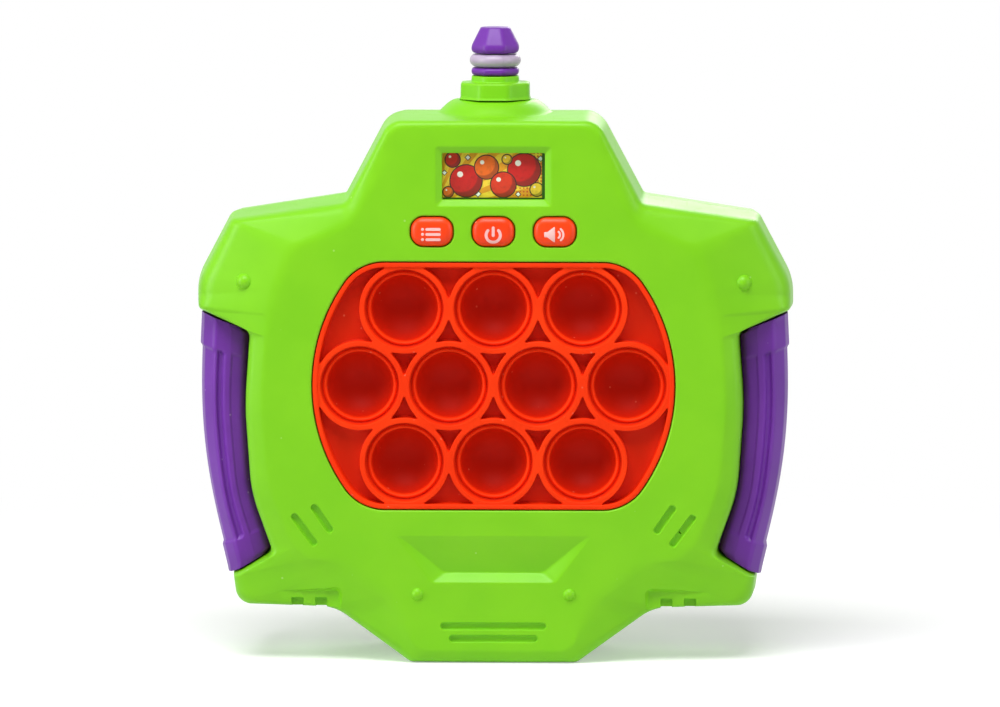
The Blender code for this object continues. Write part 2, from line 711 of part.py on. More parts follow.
def stud(name, x, z, radius, depth):
    body = bmesh.new()
    bmesh.ops.create_uvsphere(body, u_segments=10, v_segments=6, radius=radius,
                              matrix=Matrix.Translation((x, depth, z)))
    return finish_mesh(name, body)


def front_posts():
    """Screw posts and board pegs that stand on the inside of the face."""
    posts = []
    for number, (x, z) in enumerate(spots(SCREW_SHARES)):
        posts.append(rod(f"front_post_{number}", (x, FACE_Y, z), (x, -PARTING, z),
                         SCREW_BOSS_RADIUS, SCREW_SIDES))
    for number, (x, z) in enumerate(peg_places()):
        posts.append(rod(f"front_peg_{number}", (x, FACE_Y, z), (x, BOARD_BACK_Y, z),
                         PEG_RADIUS, SCREW_SIDES))
    return gathered("front_posts", posts)


def mouth_cutter():
    """Wedge that leaves the mouth: shallow at its top edge, deep at its lower floor."""
    (top_x, top_z), (lip_x, lip_z), (floor_x, floor_z) = [
        (x * HALF_WIDTH, z * CASE_HEIGHT) for x, z in MOUTH_SHARES]
    out = FACE_Y - OVERRUN
    outline = [(top_x, top_z), (-top_x, top_z), (-lip_x, lip_z), (lip_x, lip_z)]
    inner = [(top_x, top_z), (-top_x, top_z), (-floor_x, floor_z), (floor_x, floor_z)]
    deep = FACE_Y + MOUTH_DEPTH
    shallow = FACE_Y + MOUTH_TOP_DEPTH
    rings = [at_depth(outline, out), at_depth(outline, FACE_Y),
             at_depth(inner, [shallow, shallow, deep, deep])]
    return loft("mouth", rings)


def window_cutter():
    """Bevelled window through the head for the picture card."""
    steps = 2
    through = rounded_box(0, CARD_Z, CARD_WIDTH, CARD_HEIGHT, FIT, steps)
    wide = rounded_box(0, CARD_Z, CARD_WIDTH + 2 * WINDOW_BEVEL, CARD_HEIGHT + 2 * WINDOW_BEVEL,
                       FIT, steps)
    rings = [at_depth(wide, FACE_Y - OVERRUN), at_depth(wide, FACE_Y),
             at_depth(through, FACE_Y + WINDOW_BEVEL_DEPTH), at_depth(through, FACE_INNER_Y + OVERRUN)]
    return loft("card_window", rings)


def groove_cutters():
    floor = FACE_Y + GROOVE_DEPTH
    steps = 4
    grooves = []
    for number, (reach, height) in enumerate(LONG_GROOVE_SHARES):
        x, z = reach * HALF_WIDTH, height * CASE_HEIGHT
        outline = slot((-x, z), (x, z), GROOVE_WIDTH, steps)
        grooves.append(prism(f"long_groove_{number}", [outline], FACE_Y - OVERRUN, floor))
    for number, (x0, z0, x1, z1) in enumerate(SLANT_GROOVE_SHARES):
        for side in (-1, 1):
            outline = slot((side * x0 * HALF_WIDTH, z0 * CASE_HEIGHT),
                           (side * x1 * HALF_WIDTH, z1 * CASE_HEIGHT), GROOVE_WIDTH, steps)
            grooves.append(prism(f"slant_groove_{number}_{side}", [outline], FACE_Y - OVERRUN, floor))
    return grooves


def vent_cutters(item):
    """Slots of the brackets, open downwards, with the notches below them."""
    top = VENT_TOP_SHARE * CASE_HEIGHT
    notch = VENT_NOTCH_SHARE * CASE_HEIGHT
    cutters = []
    for number, (x, _) in enumerate(spots([(share, 0) for share in VENT_SHARES])):
        depth = surface_depth(item, x, top) + VENT_DEPTH
        front = FACE_Y - OVERRUN
        back = depth + VENT_NOTCH_REACH
        section = [(front, 0), (back, 0), (back, notch), (depth, notch), (depth, top), (front, top)]
        rings = [[(place, y, z) for y, z in section] for place in (x - VENT_WIDTH / 2, x + VENT_WIDTH / 2)]
        cutters.append(loft(f"vent_{number}", rings))
    return cutters


def vent_panels(item):
    """Shallow sunk panels around the slots of each bracket."""
    near, far, high = VENT_PANEL_SHARES
    panels = []
    for side in (-1, 1):
        low_x, high_x = sorted((side * near * HALF_WIDTH, side * far * HALF_WIDTH))
        top = high * CASE_HEIGHT
        depth = surface_depth(item, (low_x + high_x) / 2, top) + VENT_PANEL_DEPTH
        outline = [(low_x, 0), (high_x, 0), (high_x, top), (low_x, top)]
        panels.append(loft(f"vent_panel_{side}", [at_depth(outline, FACE_Y - OVERRUN),
                                                  at_depth(outline, depth)]))
    return panels


def button_places():
    return [((number - 1) * BUTTON_PITCH, BUTTON_Z) for number in range(3)]


def grip_peg_places():
    places = []
    for share in GRIP_PEG_SHARES:
        z = share * CASE_HEIGHT
        places += [(side * waist_x(z), z, side) for side in (-1, 1)]
    return places


def waist_x(z):
    """Half width of the outline at a height beside the grip."""
    points = rounded(outline_corners())
    hits = []
    for (x0, z0), (x1, z1) in zip(points, points[1:]):
        if x0 > 0 and x1 > 0 and min(z0, z1) <= z <= max(z0, z1) and z0 != z1:
            hits.append(x0 + (x1 - x0) * (z - z0) / (z1 - z0))
    return min(hits)


def grip_peg_holes(name):
    holes = []
    for number, (x, z, side) in enumerate(grip_peg_places()):
        inner = (x - side * (GRIP_PEG_REACH + OVERRUN), 0, z)
        outer = (x + side * OVERRUN, 0, z)
        holes.append(rod(f"{name}_{number}", inner, outer, GRIP_PEG_RADIUS + FIT, SCREW_SIDES))
    return holes


def beacon_hole(name):
    """Eight-sided hole down through the head for the beacon's stem."""
    turn = math.pi / BEACON_SIDES
    corner = (BEACON_STEM_RADIUS + FIT) / math.cos(turn)
    spots_round = [(corner * math.cos(turn * (2 * side + 1)), corner * math.sin(turn * (2 * side + 1)))
                   for side in range(BEACON_SIDES)]
    heights = (CASE_HEIGHT - LIP_INWARDS - OVERRUN, CASE_HEIGHT + BEACON_MOUND + OVERRUN)
    return loft(name, [[(x, y, z) for x, y in spots_round] for z in heights])


def front_shell():
    shell = face_solid()
    hollow = combine(face_hollow(), front_posts(), "DIFFERENCE")
    studs = []
    for (x, z), radius in zip(spots(STUD_SHARES), (STUD_RADIUS, STUD_RADIUS) + (CHIN_STUD_RADIUS,) * 2):
        depth = surface_depth(shell, x, z) + radius * STUD_SINK_SHARE
        studs.append(stud(f"stud_{len(studs)}", x, z, radius, depth))
    panels = gathered("vent_panels", vent_panels(shell))
    vents = gathered("vents", vent_cutters(shell))
    additions = gathered("front_additions", studs + [mound_half("mound_front", -1)])
    cuts = [prism("pad_opening", [pad_outline(0)], FACE_Y - OVERRUN, FACE_INNER_Y + OVERRUN),
            window_cutter(), mouth_cutter(), beacon_hole("front_beacon_hole")]
    for number, (x, z) in enumerate(button_places()):
        hole = rounded_box(x, z, BUTTON_WIDTH + 2 * FIT, BUTTON_HEIGHT + 2 * FIT, BUTTON_CORNER + FIT, 4)
        cuts.append(prism(f"button_hole_{number}", [hole], FACE_Y - OVERRUN, FACE_INNER_Y + OVERRUN))
    cuts += groove_cutters() + grip_peg_holes("front_peg_hole")
    for number, (x, z) in enumerate(spots(SCREW_SHARES)):
        cuts.append(rod(f"pilot_{number}", (x, screw_tip_y() - FIT, z), (x, OVERRUN, z),
                        SCREW_RADIUS + FIT, SCREW_SIDES))
    combine(shell, additions, "UNION")
    combine(shell, hollow, "DIFFERENCE")
    combine(shell, panels, "DIFFERENCE")
    combine(shell, vents, "DIFFERENCE")
    combine(shell, gathered("front_cuts", cuts), "DIFFERENCE")


def screw_tip_y():
    return BACK_Y - SCREW_SINK - SCREW_LENGTH


def bay_box(name, grow, front, back, head=0):
    return block(name, (-BAY_HALF_WIDTH - grow, front, BAY_Z - BAY_HALF_LENGTH - grow),
                 (BAY_HALF_WIDTH + grow, back, BAY_Z + BAY_HALF_LENGTH + grow + head))


def rear_posts():
    """What stands on the inside of the back: board posts, screw bosses, bay walls, collar."""
    posts = []
    for number, (x, z) in enumerate(peg_places()):
        posts.append(rod(f"rear_post_{number}", (x, BOARD_BACK_Y + FIT, z), (x, BACK_Y, z),
                         POST_RADIUS, SCREW_SIDES))
    for number, (x, z) in enumerate(spots(SCREW_SHARES)):
        posts.append(rod(f"rear_boss_{number}", (x, PARTING, z), (x, BACK_Y, z),
                         SCREW_BOSS_RADIUS, SCREW_SIDES))
    return gathered("rear_posts", posts)


def door_boss():
    return rod("door_boss", (0, DOOR_INNER_Y - DOOR_SCREW_LENGTH - WALL, DOOR_SCREW_Z),
               (0, BACK_Y, DOOR_SCREW_Z), DOOR_BOSS_RADIUS, SCREW_SIDES)


def speaker_collar():
    inner = circle(0, SPEAKER_Z, SPEAKER_RADIUS + FIT, ROUND_SIDES)
    outer = circle(0, SPEAKER_Z, SPEAKER_RADIUS + FIT + SPEAKER_COLLAR, ROUND_SIDES)
    return prism("speaker_collar", [outer, inner], SPEAKER_BACK_Y - SPEAKER_DEPTH / 2, BACK_Y)


def door_outline(grow):
    middle = (DOOR_LOW_Z + DOOR_HIGH_Z) / 2
    return rounded_box(0, middle, 2 * (DOOR_HALF_WIDTH + grow), DOOR_HIGH_Z - DOOR_LOW_Z + 2 * grow,
                       DOOR_CORNER + grow, 3)


def grille_slots():
    slots = []
    reach = SPEAKER_RADIUS * GRILLE_REACH_SHARE
    for number in range(GRILLE_COUNT):
        offset = (number - (GRILLE_COUNT - 1) / 2) * GRILLE_PITCH
        half = math.sqrt(reach ** 2 - offset ** 2) - GRILLE_SLOT_WIDTH / 2
        z = SPEAKER_Z + offset
        slots.append(prism(f"grille_slot_{number}", [slot((-half, z), (half, z), GRILLE_SLOT_WIDTH, 3)],
                           BACK_INNER_Y - OVERRUN, BACK_Y + OVERRUN))
    return slots


def rear_shell():
    shell = back_solid()
    hollow = back_hollow()
    combine(hollow, rear_posts(), "DIFFERENCE")
    combine(hollow, bay_box("bay_walls", BAY_WALL, BAY_FRONT_Y, BACK_Y), "DIFFERENCE")
    head = DOOR_HEAD - DOOR_LEDGE
    seat = bay_box("door_seat", DOOR_LEDGE + BAY_WALL, DOOR_INNER_Y - FIT - BAY_WALL, BACK_Y, head)
    combine(hollow, seat, "DIFFERENCE")
    combine(hollow, door_boss(), "DIFFERENCE")
    combine(hollow, speaker_collar(), "DIFFERENCE")
    recess = prism("door_recess", [door_outline(FIT)], DOOR_INNER_Y - FIT, BACK_Y + OVERRUN)
    cuts = [beacon_hole("rear_beacon_hole")] + grille_slots() + grip_peg_holes("rear_peg_hole")
    for number, (x, z) in enumerate(spots(SCREW_SHARES)):
        sink = BACK_Y - SCREW_SINK - FIT
        cuts.append(turned_hole(f"screw_hole_{number}", x, z, sink))
    deep = [bay_box("battery_bay", 0, BAY_FLOOR_Y, DOOR_INNER_Y)]
    deep.append(rod("door_pilot", (0, DOOR_INNER_Y - DOOR_SCREW_LENGTH - FIT, DOOR_SCREW_Z),
                    (0, DOOR_INNER_Y, DOOR_SCREW_Z), SCREW_RADIUS + FIT, SCREW_SIDES))
    combine(shell, mound_half("mound_rear", 1), "UNION")
    combine(shell, hollow, "DIFFERENCE")
    combine(shell, recess, "DIFFERENCE")
    combine(shell, gathered("rear_cuts", cuts), "DIFFERENCE")
    combine(shell, gathered("bay_cuts", deep), "DIFFERENCE")


def turned_hole(name, x, z, sink):
    """Stepped hole for a screw: a wide sink from the back, then the clearance for its shank."""
    wide = SCREW_HEAD_RADIUS + FIT
    narrow = SCREW_RADIUS + FIT
    front = -OVERRUN
    rings = [at_depth(circle(x, z, narrow, SCREW_SIDES), front),
             at_depth(circle(x, z, narrow, SCREW_SIDES), sink),
             at_depth(circle(x, z, wide, SCREW_SIDES), sink),
             at_depth(circle(x, z, wide, SCREW_SIDES), BACK_Y + OVERRUN)]
    return loft(name, rings)


def case_screws():
    for number, (x, z) in enumerate(spots(SCREW_SHARES)):
        seat = BACK_Y - SCREW_SINK
        rings = [at_depth(circle(x, z, SCREW_RADIUS, SCREW_SIDES), screw_tip_y()),
                 at_depth(circle(x, z, SCREW_RADIUS, SCREW_SIDES), seat),
                 at_depth(circle(x, z, SCREW_HEAD_RADIUS, SCREW_SIDES), seat),
                 at_depth(circle(x, z, SCREW_HEAD_RADIUS, SCREW_SIDES), seat + SCREW_HEAD)]
        loft(f"case_screw_{number + 1}", rings, STEEL)


def pad_outline(inwards, arc_steps=8):
    return clipped_disc(PAD_RADIUS - inwards, PAD_REACH - inwards, PAD_REACH - inwards,
                        PAD_RADIUS * PAD_CORNER_SHARE - inwards, arc_steps, 3, PAD_Z)


def bubble_pad():
    """Silicone pad: flange, raised rim, and a ring round each well with pockets between."""
    pad = prism("bubble_pad", [pad_outline(-PAD_FLANGE)], PAD_FRONT_Y, PAD_BACK_Y, RED)
    punch(pad, [(x, z, MOUTH_RADIUS, ROUND_SIDES) for x, z in bubble_places()], PAD_FRONT_Y, PAD_BACK_Y)
    relief = prism("pad_relief", [pad_outline(FIT)], RING_TOP_Y, PAD_FRONT_Y + PAD_PLATE / 2)
    punch(relief, [(x, z, WELL_RADIUS, ROUND_SIDES) for x, z in bubble_places()], RING_TOP_Y, PAD_BACK_Y)
    pockets = prism("pad_pockets", [pad_outline(FIT + PAD_RIM)], RING_TOP_Y - OVERRUN, PAD_BACK_Y)
    for number, (x, z) in enumerate(bubble_places()):
        keep = rod(f"ring_{number}", (x, RING_TOP_Y - 2 * OVERRUN, z), (x, PAD_BACK_Y + OVERRUN, z),
                   RING_RADIUS, ROUND_SIDES)
        combine(pockets, keep, "DIFFERENCE")
    combine(relief, pockets, "DIFFERENCE")
    combine(pad, relief, "UNION")


def dome_front(radius):
    """How far behind its mouth the dome's front surface lies at a radius."""
    return DOME_DEPTH * math.sqrt(max(0, 1 - (radius / DOME_RADIUS) ** 2))


def dome_profile(radii, skin):
    """Front points outwards, then back points inwards, of one band of the dome."""
    front = [(radius, -dome_front(radius)) for radius in radii]
    back = [(radius, -dome_front(radius) - skin) for radius in radii]
    return front + back[::-1]


def bubbles():
    """Each bubble as its pushed-in crown, which moves, and the thin wall that carries it."""
    wall_radius_shares = (1.0, 0.88, CROWN_SHARE)
    crown_radii = (0, CROWN_RADIUS / 2, CROWN_RADIUS - FIT / 2)
    wall_radii = [share * DOME_RADIUS for share in wall_radius_shares]
    wall_radii[-1] += FIT / 2
    crown = dome_profile(crown_radii, BUBBLE_SKIN)
    band = dome_profile(wall_radii[::-1], BUBBLE_SKIN)
    band.append(band[0])
    for number, (x, z) in enumerate(bubble_places()):
        place = (x, PAD_FRONT_Y, z)
        turned(f"bubble_crown_{number + 1}", crown, DOME_SIDES, place, RED, facing_front=True)
        turned(f"bubble_wall_{number + 1}", band, DOME_SIDES, place, RED, facing_front=True)


def key_caps():
    flange = KEY_RADIUS + KEY_FLANGE
    profile = [(0, -KEY_FRONT_Y), (KEY_RADIUS, -KEY_FRONT_Y), (KEY_RADIUS, -KEY_FLANGE_Y),
               (flange, -KEY_FLANGE_Y), (flange, -KEY_FLANGE_Y - KEY_FLANGE_THICKNESS),
               (KEY_NUB_RADIUS, -KEY_FLANGE_Y - KEY_FLANGE_THICKNESS),
               (KEY_NUB_RADIUS, -KEY_BACK_Y), (0, -KEY_BACK_Y)]
    for number, (x, z) in enumerate(bubble_places()):
        turned(f"key_cap_{number + 1}", profile, KEY_SIDES, (x, 0, z), WHITE, facing_front=True)


def plate_outline():
    corner = PLATE_RADIUS * PLATE_CORNER_SHARE
    return clipped_disc(PLATE_RADIUS, PLATE_RISE, PLATE_DROP, corner, 8, 2, PAD_Z)


def peg_holes():
    return [(x, z, PEG_RADIUS + FIT, SCREW_SIDES) for x, z in peg_places()]


def key_tray():
    """Plate that guides the key caps and button stems, with the rim that clamps the pad."""
    keys = [(x, z, KEY_RADIUS + FIT, KEY_SIDES) for x, z in bubble_places()]
    stems = [(x, z, BUTTON_STEM_RADIUS + FIT, KEY_SIDES) for x, z in button_places()]
    tray = prism("key_tray", [plate_outline()], TRAY_FRONT_Y, TRAY_BACK_Y, WHITE)
    punch(tray, keys + stems + peg_holes(), TRAY_FRONT_Y, TRAY_BACK_Y)
    rim = prism("tray_rim", [pad_outline(-TRAY_RIM), pad_outline(0)], PAD_BACK_Y + FIT,
                TRAY_FRONT_Y + TRAY_PLATE / 2)
    combine(tray, rim, "UNION")


def main_board():
    """Circuit board with a push switch under every key cap and button stem."""
    board = prism("main_board", [plate_outline()], BOARD_FRONT_Y, BOARD_BACK_Y, BOARD)
    punch(board, peg_holes(), BOARD_FRONT_Y, BOARD_BACK_Y)
    switches = []
    tips = []
    half = SWITCH_WIDTH / 2
    for number, (x, z) in enumerate(bubble_places() + button_places()):
        body_y = BOARD_FRONT_Y - SWITCH_BODY
        switches.append(block(f"switch_{number}", (x - half, body_y, z - half),
                              (x + half, BOARD_FRONT_Y + BOARD_THICKNESS / 2, z + half)))
        tips.append(rod(f"switch_tip_{number}", (x, SWITCH_TOP_Y, z), (x, BOARD_FRONT_Y - WELD, z),
                        SWITCH_TIP_RADIUS, SCREW_SIDES // 2))
    combine(board, gathered("switches", switches), "UNION")
    combine(board, gathered("switch_tips", tips), "UNION")


def buttons():
    """Push buttons: crowned cap, flange behind the face and a stem down to the switch."""
    names = ("menu_button", "power_button", "sound_button")
    steps = 3
    stem_back = SWITCH_TOP_Y - BUTTON_TRAVEL - FIT
    flange_front = FACE_INNER_Y + FIT
    flange_back = flange_front + BUTTON_FLANGE_THICKNESS
    for name, (x, z) in zip(names, button_places()):
        def ring(inwards, depth):
            outline = rounded_box(x, z, BUTTON_WIDTH - 2 * inwards, BUTTON_HEIGHT - 2 * inwards,
                                  BUTTON_CORNER - inwards, steps)
            return at_depth(outline, depth)

        top = FACE_Y - BUTTON_PROUD
        stem = circle_like(x, z, BUTTON_STEM_RADIUS, steps)
        rings = [ring(BUTTON_EDGE * 2, top), ring(BUTTON_EDGE, top + BUTTON_EDGE / 8),
                 ring(BUTTON_EDGE / 4, top + BUTTON_EDGE / 2), ring(0, top + BUTTON_EDGE),
                 ring(0, flange_front), ring(-BUTTON_FLANGE, flange_front),
                 ring(-BUTTON_FLANGE, flange_back), at_depth(stem, flange_back),
                 at_depth(stem, stem_back)]
        loft(name, rings, ORANGE)


def circle_like(x, z, radius, steps):
    """Circle with as many points as a rounded box whose corners have these steps."""
    return rounded_box(x, z, 2 * radius, 2 * radius, radius, steps)


def picture_card():
    half_width = CARD_WIDTH / 2 + CARD_BORDER
    half_height = CARD_HEIGHT / 2 + CARD_BORDER
    front = FACE_INNER_Y + FIT
    block("picture_card", (-half_width, front, CARD_Z - half_height),
          (half_width, front + CARD_THICKNESS, CARD_Z + half_height), CARD)


def beacon():
    """Collar held in the head, with the two rings and the cap on its pin."""
    inside = CASE_HEIGHT - LIP_INWARDS - FIT
    collar_low = CASE_HEIGHT + BEACON_MOUND + FIT
    collar_high = collar_low + BEACON_COLLAR
    neck_high = collar_high + BEACON_NECK
    ring_high = neck_high + FIT + BEACON_RING
    light_high = ring_high + FIT + BEACON_LIGHT
    cap_low = light_high + FIT
    cap_high = cap_low + BEACON_CAP
    pin_high = cap_low + BEACON_CAP / 2
    edge = BEACON_EDGE
    collar = [(0, pin_high), (BEACON_PIN_RADIUS, pin_high), (BEACON_PIN_RADIUS, neck_high),
              (BEACON_NECK_RADIUS, neck_high), (BEACON_NECK_RADIUS, collar_high),
              (BEACON_COLLAR_RADIUS - edge, collar_high), (BEACON_COLLAR_RADIUS, collar_high - edge),
              (BEACON_COLLAR_RADIUS, collar_low), (BEACON_STEM_RADIUS, collar_low),
              (BEACON_STEM_RADIUS, inside), (BEACON_FLANGE_RADIUS, inside),
              (BEACON_FLANGE_RADIUS, inside - BEACON_FLANGE), (0, inside - BEACON_FLANGE)]
    faceted("beacon_collar", collar, GREEN)

    bore = BEACON_PIN_RADIUS + FIT
    ring = rounded_ring(bore, BEACON_RING_RADIUS, neck_high + FIT, ring_high, edge)
    faceted("beacon_lower_ring", ring, PURPLE)
    light = rounded_ring(bore, BEACON_LIGHT_RADIUS, ring_high + FIT, light_high, BEACON_LIGHT / 3)
    faceted("beacon_light_ring", light, MILKY)

    cap = [(0, cap_high), (BEACON_CAP_TOP_RADIUS - edge, cap_high),
           (BEACON_CAP_TOP_RADIUS, cap_high - edge),
           (BEACON_CAP_RADIUS, cap_low + BEACON_CAP / 5), (BEACON_CAP_RADIUS, cap_low + edge),
           (BEACON_CAP_RADIUS - edge, cap_low), (bore, cap_low), (bore, pin_high + FIT),
           (0, pin_high + FIT)]
    faceted("beacon_cap", cap, PURPLE)


def rounded_ring(inner, outer, low, high, edge):
    return [(inner, high), (outer - edge, high), (outer, high - edge), (outer, low + edge),
            (outer - edge, low), (inner, low), (inner, high)]


def grip_points(side):
    """Stations of a grip from its foot to its head, each a pair of inner and outer points."""
    corners = [Vector((x * HALF_WIDTH, z * CASE_HEIGHT)) for x, z, *_ in CASE_CORNER_SHARES]
    bracket_tip, bracket_inner, shoulder_inner, shoulder_tip = corners[3], corners[4], corners[7], corners[8]

    def offset_line(start, end, upwards):
        along = (end - start).normalized()
        away = Vector((-along.y, along.x))
        if (away.y > 0) != upwards:
            away = -away
        return start + away * GRIP_GAP, along

    def on_line(line, x):
        start, along = line
        return Vector((x, start.y + along.y * (x - start.x) / along.x))

    foot = offset_line(bracket_inner, bracket_tip, True)
    head = offset_line(shoulder_inner, shoulder_tip, False)
    inner_foot = on_line(foot, bracket_inner.x + GRIP_CORNER_GAP)
    inner_head = on_line(head, shoulder_inner.x + GRIP_CORNER_GAP)
    outer_foot = on_line(foot, HALF_WIDTH * GRIP_FOOT_SHARE)
    outer_head = on_line(head, HALF_WIDTH * GRIP_HEAD_SHARE)
    stations = []
    for share in GRIP_STATION_SHARES:
        inner_z = inner_foot.y + (inner_head.y - inner_foot.y) * share
        inner_x = waist_x(inner_z) + GRIP_SIDE_GAP
        if share in (0, 1):
            inner_x = (inner_foot if share == 0 else inner_head).x
        bow = GRIP_BOW * math.sin(math.pi * share)
        is_block = share < GRIP_BLOCK_SHARES[0] or share > GRIP_BLOCK_SHARES[1]
        proud = GRIP_BLOCK_PROUD if is_block else 0
        outer = outer_foot.lerp(outer_head, share) + Vector((bow + proud, 0))
        if share in (0, 1):
            outer = on_line(foot if share == 0 else head, outer.x)
        stations.append((Vector((inner_x, inner_z)), outer, is_block))
    return [(Vector((side * inner.x, inner.y)), Vector((side * outer.x, outer.y)), is_block)
            for inner, outer, is_block in stations]


def grip(name, side):
    """Purple side grip: a bowed bar with a ribbed front between two blocks, on two pegs."""
    rings = []
    for inner, outer, is_block in grip_points(side):
        front = GRIP_BLOCK_FRONT_SHARES if is_block else GRIP_FRONT_SHARES
        ring = []
        for shares, sign in ((front, -1), (GRIP_BACK_SHARES, 1)):
            for across, deep in shares:
                spot = inner.lerp(outer, across)
                ring.append((spot.x, sign * deep * GRIP_HALF_DEPTH, spot.y))
        rings.append(ring)
    bar = loft(name, rings, PURPLE)
    pegs = []
    for number, (x, z, where) in enumerate(grip_peg_places()):
        if where == side:
            pegs.append(rod(f"{name}_peg_{number}", (x - side * GRIP_PEG_REACH, 0, z),
                            (x + side * GRIP_PEG_REACH, 0, z), GRIP_PEG_RADIUS, SCREW_SIDES))
    combine(bar, gathered(name + "_pegs", pegs), "UNION")


def batteries():
    """Three round cells side by side, every second one the other way up."""
    for number in range(BATTERY_COUNT):
        x = (number - (BATTERY_COUNT - 1) / 2) * BATTERY_PITCH
        half = BATTERY_LENGTH / 2
        edge = BATTERY_NUB / 2
        profile = [(0, half), (BATTERY_NUB_RADIUS, half), (BATTERY_NUB_RADIUS, half - BATTERY_NUB),
                   (BATTERY_RADIUS - edge, half - BATTERY_NUB),
                   (BATTERY_RADIUS, half - BATTERY_NUB - edge), (BATTERY_RADIUS, -half + edge),
                   (BATTERY_RADIUS - edge, -half), (0, -half)]
        cell = turned(f"battery_{number + 1}", profile, DOME_SIDES, (x, BATTERY_Y, BAY_Z), JACKET)
        if number % 2:
            cell.rotation_euler = (math.pi, 0, 0)


def contact_plates():
    """Sprung contact plates at both ends of the bay."""
    depth = BATTERY_RADIUS - FIT
    for name, side in (("upper_contact", 1), ("lower_contact", -1)):
        outer = BAY_Z + side * (BAY_HALF_LENGTH - FIT)
        inner = outer - side * CONTACT_THICKNESS
        low_z, high_z = sorted((outer, inner))
        plate = block(name, (-BAY_HALF_WIDTH + FIT, BATTERY_Y - depth, low_z),
                      (BAY_HALF_WIDTH - FIT, BATTERY_Y + depth, high_z), STEEL)
        springs = []
        for number in range(BATTERY_COUNT):
            is_nub = (number % 2 == 0) == (side > 0)
            reach = CONTACT_SPRING if not is_nub else CONTACT_SPRING - FIT
            radius = CONTACT_SPRING_RADIUS if not is_nub else BATTERY_NUB_RADIUS
            x = (number - (BATTERY_COUNT - 1) / 2) * BATTERY_PITCH
            springs.append(rod(f"{name}_spring_{number}", (x, BATTERY_Y, inner + side * CONTACT_THICKNESS / 2),
                               (x, BATTERY_Y, inner - side * reach), radius, KEY_SIDES))
        combine(plate, gathered(name + "_springs", springs), "UNION")


def battery_door():
    door = prism("battery_door", [door_outline(0)], DOOR_INNER_Y, BACK_Y, GREEN)
    punch(door, [(0, DOOR_SCREW_Z, SCREW_RADIUS + FIT, SCREW_SIDES)], DOOR_INNER_Y, BACK_Y)
    cuts = [rod("door_screw_sink", (0, BACK_Y - DOOR_THICKNESS / 2, DOOR_SCREW_Z),
                (0, BACK_Y + OVERRUN, DOOR_SCREW_Z), SCREW_HEAD_RADIUS + FIT, SCREW_SIDES)]
    for number in range(DOOR_GRIP_COUNT):
        z = DOOR_LOW_Z + DOOR_HEAD + number * DOOR_GRIP_WIDTH * 2
        half = DOOR_GRIP_LENGTH / 2
        outline = slot((-half, z), (half, z), DOOR_GRIP_WIDTH, 3)
        cuts.append(prism(f"door_groove_{number}", [outline], BACK_Y - DOOR_GRIP_DEPTH, BACK_Y + OVERRUN))
    combine(door, gathered("door_cuts", cuts), "DIFFERENCE")
    seat = BACK_Y - DOOR_THICKNESS / 2 + FIT
    rings = [at_depth(circle(0, DOOR_SCREW_Z, SCREW_RADIUS, SCREW_SIDES), DOOR_INNER_Y - DOOR_SCREW_LENGTH),
             at_depth(circle(0, DOOR_SCREW_Z, SCREW_RADIUS, SCREW_SIDES), seat),
             at_depth(circle(0, DOOR_SCREW_Z, SCREW_HEAD_RADIUS, SCREW_SIDES), seat),
             at_depth(circle(0, DOOR_SCREW_Z, SCREW_HEAD_RADIUS, SCREW_SIDES), BACK_Y)]
    loft("door_screw", rings, STEEL)


def speaker():
    front = SPEAKER_DEPTH
    profile = [(0, front), (SPEAKER_MAGNET_RADIUS, front), (SPEAKER_MAGNET_RADIUS, front / 2),
               (SPEAKER_RADIUS - SPEAKER_RIM, SPEAKER_RIM), (SPEAKER_RADIUS, SPEAKER_RIM),
               (SPEAKER_RADIUS, 0), (0, 0)]
    turned("speaker", profile, ROUND_SIDES, (0, SPEAKER_BACK_Y, SPEAKER_Z), DARK, facing_front=True)


front_shell()
rear_shell()
grip("right_grip", 1)
grip("left_grip", -1)
bubble_pad()
bubbles()
key_caps()
key_tray()
main_board()
buttons()
picture_card()
beacon()
case_screws()
batteries()
contact_plates()
battery_door()
speaker()
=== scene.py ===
import math

import bmesh
import bpy
import numpy as np
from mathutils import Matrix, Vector
from mathutils.geometry import delaunay_2d_cdt


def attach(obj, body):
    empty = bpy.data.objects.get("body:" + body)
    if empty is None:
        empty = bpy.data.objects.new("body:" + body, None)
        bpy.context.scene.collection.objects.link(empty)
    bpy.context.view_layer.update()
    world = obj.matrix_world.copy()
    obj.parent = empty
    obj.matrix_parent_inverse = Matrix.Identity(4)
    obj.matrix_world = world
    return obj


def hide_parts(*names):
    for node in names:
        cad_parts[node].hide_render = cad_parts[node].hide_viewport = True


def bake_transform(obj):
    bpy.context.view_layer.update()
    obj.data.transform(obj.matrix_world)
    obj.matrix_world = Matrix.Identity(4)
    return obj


# Looks of the handheld bubble pop game. Shapes are worked out in millimetres and become metres
# when a mesh is made. x runs to the right, z up, and the face looks towards -y.

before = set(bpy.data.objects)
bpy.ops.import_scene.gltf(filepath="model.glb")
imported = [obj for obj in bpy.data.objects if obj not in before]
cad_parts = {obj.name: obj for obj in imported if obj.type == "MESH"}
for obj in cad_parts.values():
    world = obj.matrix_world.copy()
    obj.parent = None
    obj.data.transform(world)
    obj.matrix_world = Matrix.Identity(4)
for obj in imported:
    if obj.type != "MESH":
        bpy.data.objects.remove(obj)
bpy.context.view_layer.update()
mm = 0.001


# Surfaces from arrays

def unit(vectors):
    # each vector divided by its own length
    return vectors / np.maximum(np.linalg.norm(vectors, axis=-1, keepdims=True), 1e-9)


def countedOff(counts):
    # items in runs of the given counts: the run that each item is in, and its place in that run
    run = np.repeat(np.arange(len(counts)), counts)
    return run, np.arange(len(run)) - (np.cumsum(counts) - counts)[run]


